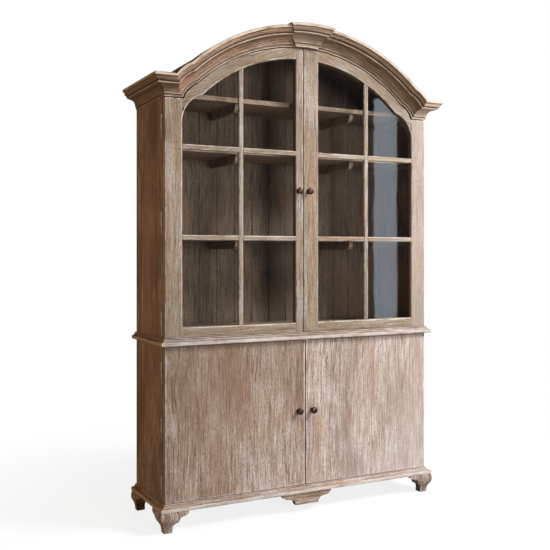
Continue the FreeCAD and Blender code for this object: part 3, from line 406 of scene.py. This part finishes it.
def inset(outline, amounts):
    """An outline moved inwards: each corner goes where its two edges meet once each has moved by its amount."""
    ahead = np.roll(outline, -1, axis=0) - outline
    ahead /= np.maximum(np.linalg.norm(ahead, axis=1, keepdims=True), 1e-9)
    after = np.stack((-ahead[:, 1], ahead[:, 0]), axis=1)
    before = np.roll(after, 1, axis=0)
    reach = amounts[:, None]
    earlier = np.roll(reach, 1, axis=0)
    turn = np.sum(before * after, axis=1, keepdims=True)
    straight = (before + after) / np.maximum(1 + turn, 1e-6) * (reach + earlier) / 2
    bent = before * (earlier - reach * turn) + after * (reach - earlier * turn)
    bent = bent / np.maximum(1 - turn ** 2, 1e-6)
    return outline + np.where(turn > 0.995, straight, bent)


# A number for each piece's place in the grain
offsets = iter(range(200))


def plate(name, outline, kinds, rows, grain, **finish):
    """A board: one outline in x and z carried through its thickness. Each row gives the depth y, and per kind
    of edge how far the outline is moved in there and how much of the arris shows."""
    outline, kinds = np.asarray(outline, float), np.asarray(kinds)
    nearby = np.roll(outline, -1, axis=0)
    if np.sum(outline[:, 0] * nearby[:, 1] - outline[:, 1] * nearby[:, 0]) < 0:
        outline, kinds = outline[::-1], np.roll(kinds[::-1], -1)
    rings = np.empty((len(rows), len(outline), 3))
    arris = np.empty(rings.shape[:2])
    for row, (place, amounts, shows) in enumerate(rows):
        rings[row, :, ::2] = inset(outline, np.asarray(amounts)[kinds])
        rings[row, :, 1] = place
        shown = np.asarray(shows, float)[kinds]
        arris[row] = np.maximum(shown, np.roll(shown, 1))
    along = np.asarray(grain, float) / np.linalg.norm(grain)
    depth = np.array((0.0, 1.0, 0.0))
    beside = np.cross(depth, along) + depth
    start = next(offsets) * GRAIN_STEP
    uv = np.stack((rings @ along, rings @ beside), axis=-1) + start
    return skin(name, rings, wrapped(uv), arris, **finish)


def rounded(place, radius, band):
    """Rows of a plate's front: a quarter round on each edge, then a band over which the edge's arris value
    fades on the face.
    """
    rows = []
    for share in (0.0, 0.45, 0.8, 1.0):
        turn = share * math.pi / 2
        rows.append((place + radius * (1 - math.sin(turn)), np.full(3, radius * (1 - math.cos(turn))),
                     np.full(3, 0.45 + 0.55 * math.sin(turn))))
    return rows + [(place, np.full(3, radius + band), np.zeros(3))]


def bend(centre, radius, start, end, count=40):
    """Points of an arc; angles run from straight up, positive towards +x."""
    turn = np.linspace(start, end, count)
    return np.stack((centre[0] + radius * np.sin(turn), centre[1] + radius * np.cos(turn)), axis=1)


def meeting(arch_radius, centre_x, centre_z, radius):
    """Where the arch about the middle meets a shoulder circle, on the crown's side; radii may be arrays."""
    rise = centre_z - ARCH_CENTRE
    apart = math.hypot(centre_x, rise)
    along = (arch_radius ** 2 - radius ** 2 + apart ** 2) / (2 * apart)
    across = np.sqrt(arch_radius ** 2 - along ** 2)
    return ((along * centre_x - across * rise) / apart,
            ARCH_CENTRE + (along * rise + across * centre_x) / apart)


def turn_of(x, z, centre_x, centre_z):
    """The angle of a point about a centre, from straight up."""
    return np.arctan2(x - centre_x, z - centre_z)


def curve(shares, run, height, fine=7):
    """A moulding's profile: corners, and for each curved stretch points of a parabola through its middle."""
    points, soft = [], []
    for here, after in zip(shares, shares[1:] + shares[:1]):
        start, end = np.array(here[:2]), np.array(after[:2])
        points.append(start[None])
        soft.append([False])
        if len(here) == 3:
            middle = 2 * np.array(here[2]) - (start + end) / 2
            t = np.linspace(0, 1, fine + 2)[1:-1, None]
            points.append((1 - t) ** 2 * start + 2 * t * (1 - t) * middle + t ** 2 * end)
            soft.append([True] * fine)
    return np.concatenate(points) * (run, height), np.concatenate(soft)


def eased(points, soft, radius=SOFT_ARRIS, fine=4):
    """A closed profile with its hard corners rounded by parabolas, and +1 on arrises, -1 in hollows."""
    before = np.roll(points, 1, axis=0) - points
    after = np.roll(points, -1, axis=0) - points
    reach_before = np.linalg.norm(before, axis=1, keepdims=True)
    reach_after = np.linalg.norm(after, axis=1, keepdims=True)
    cut = np.minimum(radius, 0.35 * np.minimum(reach_before, reach_after))
    start, end = points + before / reach_before * cut, points + after / reach_after * cut
    t = np.linspace(0, 1, fine)[None, :, None]
    rounds = (1 - t) ** 2 * start[:, None] + 2 * t * (1 - t) * points[:, None] + t ** 2 * end[:, None]
    turn = (before[:, 1] * after[:, 0] - before[:, 0] * after[:, 1]) / (reach_before * reach_after)[:, 0]
    nearby = np.roll(points, -1, axis=0)
    area = np.sum(points[:, 0] * nearby[:, 1] - points[:, 1] * nearby[:, 0])
    edge = np.clip(turn * np.sign(area) * 1.6, -1, 1)
    rounds[soft] = points[soft][:, None]
    keep = ~soft[:, None] | (np.arange(fine) == 0)[None, :]
    shade = np.where(soft[:, None], 0.0, np.broadcast_to(edge[:, None], keep.shape))
    return rounds[keep], shade[keep]


def swept(name, points, shade, **finish):
    """A moulding: points[i, j] is profile point j at station i; the grain runs along the stations."""
    along = np.linalg.norm(np.diff(points, axis=0), axis=2).mean(axis=1)
    along = np.concatenate(([0.0], np.cumsum(along)))
    round_ = np.linalg.norm(np.diff(wrapped(points), axis=1), axis=2).mean(axis=0)
    across = np.concatenate(([0.0], np.cumsum(round_)))
    start = next(offsets) * GRAIN_STEP
    uv = np.stack(np.broadcast_arrays(along[:, None], across[None, :]), axis=-1) + start
    arris = np.broadcast_to(shade[None, :], points.shape[:2])
    return skin(name, points, uv, arris, **finish)


def on_case(material=limed_oak, slot="limed_oak", replaced=None, tone=0.0, fade=0.0):
    """What skin needs to know of a piece that belongs to the case."""
    return dict(body="case", slot=slot, material=material, replaced=replaced, tone=tone, fade=fade)


# Cornice
def cornice_profile(proud, rise):
    """The profile in front of the case as depth y and height over the line under the cornice."""
    corners, soft = curve(CORNICE, CORNICE_RUN, CORNICE_HEIGHT)
    deep = np.concatenate((DOOR_FRONT - CORNICE_PROUD - proud - corners[:, 0],
                           [DOOR_FRONT, FRONT, FRONT, DOOR_FRONT]))
    tall = np.concatenate((corners[:, 1], [CORNICE_HEIGHT, CORNICE_HEIGHT, 0.0, 0.0]))
    soft = np.concatenate((soft, [True, False, False, True]))
    tall = tall + np.where(tall > 0, rise, 0.0)
    points, shade = eased(np.stack((deep, tall), axis=1), soft)
    # The top of the profile gets painted shade
    return points, np.where(points[:, 1] > tall.max() - SOFT_ARRIS / 2, TOP_SHADE, shade)


def turned_run(name, profile, shade, centre_x, centre_z, radius, start, end, count=72, mirror=1, **finish):
    """A run on an arc: a profile turned about a front-to-back axis, with an end angle for each height."""
    out = radius + profile[:, 1]
    t = np.linspace(0, 1, count)[:, None]
    turn = (1 - t) * start(out)[None, :] + t * end(out)[None, :]
    points = np.stack((mirror * (centre_x + out * np.sin(turn)),
                       np.broadcast_to(profile[:, 0], turn.shape), centre_z + out * np.cos(turn)), axis=-1)
    return swept(name, points, shade, **finish)


def keystone_turn(out):
    """The angle at which a circle about the arch's centre crosses the keystone's slanting side."""
    slant = (KEYSTONE_HEAD - KEYSTONE_FOOT) / (CORNICE_HEIGHT + KEYSTONE_RISE)
    share = (KEYSTONE_FOOT + slant * (ARCH_CENTRE - ARCH_TOP)) / out
    return math.atan(slant) + np.arcsin(share / math.hypot(1, slant))


def cusp_on_arch(out):
    """The arch's angle where it meets the shoulder's run at the same height of the profile."""
    x, z = meeting(out, SHOULDER_X, SHOULDER_Z, out - ARCH_RADIUS + SHOULDER_RADIUS)
    return turn_of(x, z, 0.0, ARCH_CENTRE)


def cusp_on_shoulder(out):
    """The shoulder's angle where it meets the arch's run at the same height of the profile."""
    x, z = meeting(out - SHOULDER_RADIUS + ARCH_RADIUS, SHOULDER_X, SHOULDER_Z, out)
    return turn_of(x, z, SHOULDER_X, SHOULDER_Z)


def ear_on_shoulder(out):
    """The shoulder's angle where it comes down to the ear at the same height of the profile."""
    return np.arccos((SHOULDER_DROP + out - SHOULDER_RADIUS) / out)


def cornice_line(name, stations, mirror, **finish):
    """A straight cornice run: x and y at both ends for each profile point, with mitres."""
    profile, shade = cornice_profile(0.0, 0.0)
    start, end = stations(profile)
    t = np.linspace(0, 1, 12)[:, None, None]
    plan = (1 - t) * start[None] + t * end[None]
    tall = np.broadcast_to(EAR_LEVEL + profile[:, 1], plan.shape[:2])
    points = np.stack((mirror * plan[..., 0], plan[..., 1], tall), axis=-1)
    return swept(name, points, shade, **finish)


def ear_ends(profile):
    """From the shoulder's mitre to the corner's mitre, which leaves the case's corner at 45 degrees."""
    out = SHOULDER_RADIUS + profile[:, 1]
    inner = SHOULDER_X + np.sqrt(out ** 2 - (SHOULDER_DROP + profile[:, 1]) ** 2)
    outer = HALF + np.maximum(DOOR_FRONT - profile[:, 0], 0.0)
    return np.stack((inner, profile[:, 0]), axis=1), np.stack((outer, profile[:, 0]), axis=1)


def return_ends(profile):
    """From the corner's mitre to the back; behind the front's face the profile stops at the case's side."""
    out = np.maximum(DOOR_FRONT - profile[:, 0], 0.0)
    x = HALF + out
    return np.stack((x, DOOR_FRONT - out), axis=1), np.stack((x, np.full(len(x), BACK)), axis=1)


for hand, mirror in (("left", -1), ("right", 1)):
    # The right-hand arch's fade browns it towards the right as painted shade
    browner = dict(material=cornice_oak, slot="cornice_oak", tone=ARCH_TONE, fade=ARCH_FADE[hand])
    turned_run(f"{hand}_arch_moulding", *cornice_profile(0.0, 0.0), 0.0, ARCH_CENTRE, ARCH_RADIUS,
               keystone_turn, cusp_on_arch, mirror=mirror,
               **on_case(replaced=f"cornice_{hand}_arch", **browner))
    turned_run(f"{hand}_shoulder_moulding", *cornice_profile(0.0, 0.0), SHOULDER_X, SHOULDER_Z,
               SHOULDER_RADIUS, cusp_on_shoulder, ear_on_shoulder, count=28, mirror=mirror,
               **on_case(replaced="cornice_shoulders", **browner))
    cornice_line(f"{hand}_ear_moulding", ear_ends, mirror,
                 **on_case(cornice_oak, "cornice_oak", f"cornice_{hand}_ear", EAR_TONE, EAR_FADE))
    cornice_line(f"{hand}_return_moulding", return_ends, mirror,
                 **on_case(shaded_moulding, "shaded_oak", "cornice_returns", RETURN_TONE))
turned_run("keystone_moulding", *cornice_profile(KEYSTONE_PROUD, KEYSTONE_RISE), 0.0, ARCH_CENTRE,
           ARCH_RADIUS, lambda out: -keystone_turn(out), keystone_turn, count=24,
           **on_case(cornice_oak, "cornice_oak", "cornice_keystone", KEYSTONE_TONE))


def bent_roof():
    """The roof board: a flat profile bent over the case on its own arc, between the two sides."""
    low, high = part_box("arched_roof")
    rise = high[2] - (EAR_LEVEL + ROOF_FOOT)
    radius = (high[0] ** 2 + rise ** 2) / (2 * rise)
    under = -ROOF_THICKNESS
    corners = np.array(((low[1], under), (low[1], 0.0), (high[1], 0.0), (high[1], under)))
    profile, shade = eased(corners, np.zeros(4, bool), ROOF_ARRIS)
    turned_run("bent_roof", profile, shade, 0.0, high[2] - radius, radius,
               lambda out: -np.arcsin(high[0] / out), lambda out: np.arcsin(high[0] / out), count=96,
               **on_case(shaded_moulding, "inside_oak", "arched_roof", ROOF_TONE))


bent_roof()


# Waist and base mouldings
def straight_moulding(kind, shares):
    """A front run and two side runs of one profile, mitred at the corners of the case."""
    low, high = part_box(f"{kind}_moulding_front")
    reach, tall = DOOR_FRONT - low[1], high[2] - low[2]
    corners, soft = curve(shares, reach, tall)
    profile, shade = eased(corners, soft, MOULDING_ARRIS)
    out, level = profile[:, 0], low[2] + profile[:, 1]
    t = np.linspace(-1, 1, 16)[:, None]
    x = t * (HALF + out)[None, :]
    points = np.stack(np.broadcast_arrays(x, (DOOR_FRONT - out)[None, :], level[None, :]), axis=-1)
    swept(f"{kind}_front_moulding", points, shade,
          **on_case(replaced=f"{kind}_moulding_front", tone=MOULDING_TONE[kind], fade=FADE))
    t = np.linspace(0, 1, 10)[:, None]
    y = (1 - t) * (DOOR_FRONT - out)[None, :] + t * BACK
    for hand, mirror in (("left", -1), ("right", 1)):
        points = np.stack(np.broadcast_arrays(mirror * (HALF + out)[None, :], y, level[None, :]), axis=-1)
        swept(f"{kind}_{hand}_moulding", points, shade,
              **on_case(shaded_moulding, "shaded_oak", f"{kind}_moulding_sides"))


straight_moulding("waist", WAIST)
straight_moulding("base", BASE)


# Doors
def frame_rows():
    """Rows of a glazed door's frame piece, from the back with its rebate to the softened front."""
    joint, sight, outer = JOINT_ARRIS, SIGHT_ARRIS, SOFT_ARRIS
    middle = DOOR_FRONT + GLAZING_FRONT
    return [
        (DOOR_BACK, (joint, REBATE, outer), (0.2, 0.0, 0.2)),
        (DOOR_BACK - BACK_ARRIS, (0.0, REBATE, 0.0), (0.2, 0.0, 0.2)),
        (middle, (0.0, REBATE, 0.0), (0.0, 0.0, 0.0)),
        # The reveal along the glass is darkened as painted shade; the sight edge is paled by rubbing and as
        # painted highlight
        (middle, (0.0, 0.0, 0.0), (0.0, -0.6, 0.0)),
        (DOOR_FRONT + sight, (0.0, 0.0, 0.0), (0.1, -0.4, 0.3)),
        (DOOR_FRONT + FRAME_EASE, (0.0, sight * 0.72, 0.0), (0.0, 1.0, 0.5)),
        (DOOR_FRONT + FRAME_EASE / 4, (joint * 0.7, sight, outer * 0.6), (-0.3, 1.0, 1.0)),
        (DOOR_FRONT, (joint * 2, sight + FRAME_EASE, outer), (-0.3, 0.7, 0.8)),
        (DOOR_FRONT, (FRAME_BAND, sight + FRAME_BAND, OUTER_BAND), (0.0, 0.0, 0.0)),
    ]


# Kinds of edge: against another piece, along the glass, and on the outside
JOINT, SIGHT, OUTER = 0, 1, 2


def outline_of(*stretches):
    """Joins stretches of points, each with the kind of its edges; a stretch's last edge leads to the next."""
    points = np.concatenate([np.atleast_2d(stretch) for stretch, _ in stretches])
    kinds = np.concatenate([np.full(len(np.atleast_2d(stretch)), kind) for stretch, kind in stretches])
    return points, kinds


def upper_door(hand, mirror):
    """The glazed door's frame on the right-hand side, mirrored for the left one."""
    body = f"upper_{hand}_door"
    low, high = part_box(f"upper_{hand}_meeting_stile")
    seam, opening = sorted((low[0] * mirror, high[0] * mirror))
    bottom = low[2]
    rail_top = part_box(f"upper_{hand}_bottom_rail")[1][2]
    ear_top = EAR_LEVEL - CORNICE_GAP
    head = ARCH_RADIUS - CORNICE_GAP
    shoulder = SHOULDER_RADIUS - CORNICE_GAP
    shoulder_x = SHOULDER_X - SWING_RELIEF
    cusp_x, cusp_z = meeting(head, shoulder_x, SHOULDER_Z, shoulder)
    corner_x = shoulder_x + math.sqrt(shoulder ** 2 - (ear_top - SHOULDER_Z) ** 2)
    glass_radius = ARCH_RADIUS - RAIL_WIDTH
    glass_x, glass_z = meeting(glass_radius, GLASS_X, GLASS_SPRING, GLASS_SHOULDER)
    nib = GLASS_SPRING + math.sqrt((GLASS_SHOULDER + REBATE) ** 2 - GLASS_SHOULDER ** 2)
    nib_turn = math.acos((nib - GLASS_SPRING) / GLASS_SHOULDER)
    middle, bow = (0.0, ARCH_CENTRE), (GLASS_X, GLASS_SPRING)
    glass_end, head_end = math.asin(opening / glass_radius), math.asin(opening / head)

    def made(label, outline, kinds, grain):
        """One piece of the frame, on its own hand."""
        grain = (grain[0] * mirror, grain[1], grain[2])
        plate(f"{body}_{label}", outline * (mirror, 1), kinds, frame_rows(), grain, body=body,
              slot="limed_oak", material=frame_oak, replaced=f"upper_{hand}_{label}",
              tone=FRAME_TONE[label], fade=FADE)

    made("hinge_stile", *outline_of(
        ((EAR_CORNER, bottom), OUTER), ((HALF, bottom), OUTER), ((HALF, ear_top), OUTER),
        ((EAR_CORNER, ear_top), JOINT), ((EAR_CORNER, nib), JOINT),
        (bend(bow, GLASS_SHOULDER, nib_turn, math.pi / 2, 14), SIGHT),
        ((EAR_CORNER, rail_top), JOINT)), (0, 0, 1))
    made("meeting_stile", *outline_of(
        ((seam, bottom), OUTER), ((opening, bottom), JOINT), ((opening, rail_top), SIGHT),
        (bend(middle, glass_radius, glass_end, glass_end, 1), JOINT),
        (bend(middle, head, head_end, math.asin(seam / head), 8), OUTER)), (0, 0, 1))
    made("bottom_rail", *outline_of(
        ((opening, bottom), OUTER), ((EAR_CORNER, bottom), JOINT), ((EAR_CORNER, rail_top), SIGHT),
        ((opening, rail_top), JOINT)), (1, 0, 0))
    made("arched_rail", *outline_of(
        (bend(middle, glass_radius, glass_end, turn_of(glass_x, glass_z, *middle), 44), SIGHT),
        (bend(bow, GLASS_SHOULDER, turn_of(glass_x, glass_z, *bow), nib_turn, 20)[1:-1], SIGHT),
        (bend(bow, GLASS_SHOULDER, nib_turn, nib_turn, 1), JOINT),
        ((EAR_CORNER, nib), JOINT), ((EAR_CORNER, ear_top), OUTER),
        (bend((shoulder_x, SHOULDER_Z), shoulder, turn_of(corner_x, ear_top, shoulder_x, SHOULDER_Z),
              turn_of(cusp_x, cusp_z, shoulder_x, SHOULDER_Z), 20), OUTER),
        (bend(middle, head, turn_of(cusp_x, cusp_z, *middle), head_end, 44)[1:-1], OUTER),
        (bend(middle, head, head_end, head_end, 1), JOINT)), (1, 0, -RAIL_FALL))
    glazing_bars(hand, mirror, opening, rail_top, glass_radius)


def glazing_bars(hand, mirror, opening, rail_top, glass_radius):
    """Bars with a bevelled front: one upright to the arch, and cross bars butted to it."""
    low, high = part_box(f"upper_{hand}_glazing_bars")
    face, behind = low[1], high[1]
    bevel, half = BAR_BEVEL, BAR_WIDTH / 2
    centre = (opening + EAR_CORNER) / 2
    left, right = centre - half, centre + half
    waist_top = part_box("waist_board")[1][2]
    rows = [
        # The bars' sides are darkened as painted shade; the bevels are paled by rubbing and as painted
        # highlight
        (behind, (0.0, 0.0, 0.0), (0.0, -0.6, 0.0)),
        (face + bevel, (0.0, 0.0, 0.0), (0.0, -0.4, 0.0)),
        (face + bevel * 0.3, (0.0, bevel * 0.6, 0.0), (0.0, 1.0, 0.0)),
        (face, (0.0, bevel, 0.0), (0.0, 0.8, 0.0)),
        (face, (0.0, bevel + BAR_BAND, 0.0), (0.0, 0.1, 0.0)),
    ]
    finish = dict(body=f"upper_{hand}_door", slot="limed_oak", material=frame_oak,
                  replaced=f"upper_{hand}_glazing_bars", tone=FRAME_TONE["bars"], fade=FADE)

    def top(x):
        """The height of the glass under the arch."""
        return ARCH_CENTRE + math.sqrt(glass_radius ** 2 - x ** 2)

    outline, kinds = outline_of(((left, rail_top), JOINT), ((right, rail_top), SIGHT),
                                ((right, top(right)), JOINT), ((left, top(left)), SIGHT))
    plate(f"upper_{hand}_upright_bar", outline * (mirror, 1), kinds, rows, (0, 0, 1), **finish)
    for level_name, level in (("low", waist_top + LOW_BAR), ("high", waist_top + HIGH_BAR)):
        for part, start, stop in (("inner", opening, left), ("outer", right, EAR_CORNER)):
            outline, kinds = outline_of(
                ((start, level - half), SIGHT), ((stop, level - half), JOINT),
                ((stop, level + half), SIGHT), ((start, level + half), JOINT))
            plate(f"upper_{hand}_{level_name}_{part}_bar", outline * (mirror, 1), kinds, rows, (1, 0, 0),
                  **finish)


def lower_door(hand):
    """A plain panel with its grain upright, soft edges paled by rubbing, and painted shadow along the top edge
    under the moulding.
    """
    low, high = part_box(f"lower_{hand}_panel")
    near, far = SHADED_ENDS
    top = [(high[0] - near, high[2]), (high[0] - far, high[2]), (low[0] + far, high[2])]
    outline, kinds = outline_of(((low[0], low[2]), OUTER), ((high[0], low[2]), OUTER),
                                ((high[0], high[2]), OUTER), (top, JOINT), ((low[0], high[2]), OUTER))
    back = PANEL_BACK_ARRIS
    rows = [(DOOR_BACK, (back,) * 3, (0.3,) * 3), (DOOR_BACK - back, (0.0,) * 3, (0.3,) * 3)]
    rows += [(place, amounts, (SHADED_TOP, *shows[1:]) if shows.any() else shows)
             for place, amounts, shows in rounded(DOOR_FRONT, PANEL_ROUND, WEAR_AND_SHADE_BAND)]
    tone, fade, rise = PANEL_TONE[hand]
    plate(f"lower_{hand}_door_panel", outline, kinds, rows, (0, 0, 1), body=f"lower_{hand}_door",
          slot="limed_oak", material=limed_oak, replaced=f"lower_{hand}_panel",
          tone=tone, fade=fade, rise=rise)


def turned_knob(level, hand):
    """A turned knob: the profile's radius carried round a front-to-back axis."""
    low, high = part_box(f"{level}_{hand}_knob")
    centre_x, centre_z = (low[0] + high[0]) / 2, (low[2] + high[2]) / 2
    radius, length = (high[2] - low[2]) / 2, high[1] - low[1]
    profile = np.array(KNOB)
    turn = np.linspace(0, 2 * math.pi, 48, endpoint=False)[None, :]
    out = profile[:, :1] * radius
    points = np.stack((centre_x + out * np.cos(turn),
                       np.broadcast_to(high[1] - profile[:, 1:] * length, (len(profile), turn.size)),
                       centre_z + out * np.sin(turn)), axis=-1)
    uv = np.stack(np.broadcast_arrays(profile[:, 1:] * length, np.linspace(0, 1, 49)[None, :]), axis=-1)
    skin(f"{level}_{hand}_turned_knob", points, uv, np.zeros(points.shape[:2]), f"{level}_{hand}_door",
         "knob_bronze", knob_bronze, f"{level}_{hand}_knob")


for hand, mirror in (("left", -1), ("right", 1)):
    upper_door(hand, mirror)
    lower_door(hand)
    turned_knob("upper", hand)
    turned_knob("lower", hand)

# Finishes of the CAD nodes that stay
for node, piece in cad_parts.items():
    if node.endswith("_glass"):
        finish = glass
    elif "hinge" in node and "stile" not in node:
        finish = hinge_metal
    elif node.startswith("foot_front"):
        finish = foot_oak
    elif node in ("centre_drop", "base_board", "waist_board"):
        finish = drop_oak
    # The sides and back feet take the browner side finish, partly painted shade
    elif node.endswith("_side") or node.startswith("foot_back"):
        finish = side_oak
    elif node in ("upper_back", "lower_back") or node.endswith("glazing_beads"):
        finish = inside_z
    else:
        finish = inside_x
    for slot in piece.material_slots:
        slot.material = finish


# Floor, background, light and camera
def seen_directly(paint):
    """1 for rays that show the background: from the camera or through glass."""
    straight, through = (paint.make("ShaderNodeLightPath", None, None, name)
                         for name in ("Is Camera Ray", "Is Transmission Ray"))
    return paint.math("MINIMUM", straight + through, 1.0)


floor_mesh = bpy.data.meshes.new("studio_floor")
corners = [(x * FLOOR_REACH, y * FLOOR_REACH, 0) for x, y in ((-1, -1), (1, -1), (1, 1), (-1, 1))]
floor_mesh.from_pydata(corners, [], [(0, 1, 2, 3)])
floor = bpy.data.objects.new("studio_floor", floor_mesh)
bpy.context.scene.collection.objects.link(floor)
floor_white, paint = blank("floor_white")
bounce = paint.make("ShaderNodeBsdfDiffuse", None, {"Color": (0.36, 0.35, 0.34, 1)})
place = paint.make("ShaderNodeTexCoord", None, None, 3)
away = paint.make("ShaderNodeVectorMath", {"operation": "LENGTH"}, {0: place}, "Value")
shown = paint.make("ShaderNodeMixShader", None, {
    0: (1.0 - away.step(*SHADOW_REACH)) * SHADOW_SHARE,
    1: paint.make("ShaderNodeEmission", None, {"Color": (1, 1, 1, 1), "Strength": 1.0}),
    2: paint.make("ShaderNodeBsdfDiffuse", None, {"Color": (0.95, 0.95, 0.95, 1)})})
surface(paint, paint.make("ShaderNodeMixShader", None, {0: seen_directly(paint), 1: bounce, 2: shown}))
floor_mesh.materials.append(floor_white)

world = bpy.data.worlds.new("studio")
bpy.context.scene.world = world
world.use_nodes = True
world.node_tree.nodes.clear()
sky = Signal(world.node_tree)
around = sky.make("ShaderNodeBackground", None, {"Color": (1.0, 0.98, 0.96, 1), "Strength": 0.13})
white = sky.make("ShaderNodeBackground", None, {"Color": (1, 1, 1, 1), "Strength": 1.0})
sky.make("ShaderNodeOutputWorld", None, {
    "Surface": sky.make("ShaderNodeMixShader", None, {0: seen_directly(sky), 1: around, 2: white})})


def lamp(name, place, aim, wide, tall, power, colour):
    """A soft lamp at one place, turned to face another."""
    light = bpy.data.lights.new(name, "AREA")
    light.shape = "RECTANGLE"
    light.size, light.size_y, light.energy, light.color = wide, tall, power, colour
    holder = bpy.data.objects.new(name, light)
    holder.location = place
    x, y, z = (a - b for a, b in zip(aim, place))
    holder.rotation_euler = (math.atan2(math.hypot(x, y), -z), 0, math.atan2(-x, y))
    bpy.context.scene.collection.objects.link(holder)


lamp("key_softbox", (3.3, -3.0, 4.2), (0, -0.1, 1.0), 1.8, 1.8, 460, (0.98, 0.98, 0.99))
lamp("front_softbox", (0.2, -5.0, 1.5), (0, 0, 1.2), 1.5, 1.5, 130, (1.0, 0.97, 0.94))
lamp("side_softbox", (-5.0, 0.6, 1.6), (0, 0, 1.1), 2.0, 2.0, 76, (1.0, 0.72, 0.48))
lamp("strip_softbox", (2.75, -3.4, 1.55), (0.4, -0.2, 1.4), 0.22, 2.2, 8.0, (0.90, 0.96, 1.0))
lamp("back_softbox", (2.3, 5.5, 2.4), (0, 0, 1.1), 1.6, 1.6, 140, (1.0, 0.96, 0.92))

camera = bpy.data.cameras.new("photo_camera")
camera.sensor_width = 36.0
camera.lens = 54.0
camera.shift_y = -0.0385
viewer = bpy.data.objects.new("photo_camera", camera)
viewer.location = (-1.850, -3.3975, 1.162)
viewer.rotation_euler = (math.radians(90), 0, math.radians(-27.55))
bpy.context.scene.collection.objects.link(viewer)
bpy.context.scene.camera = viewer
bpy.context.scene.view_settings.view_transform = "Standard"
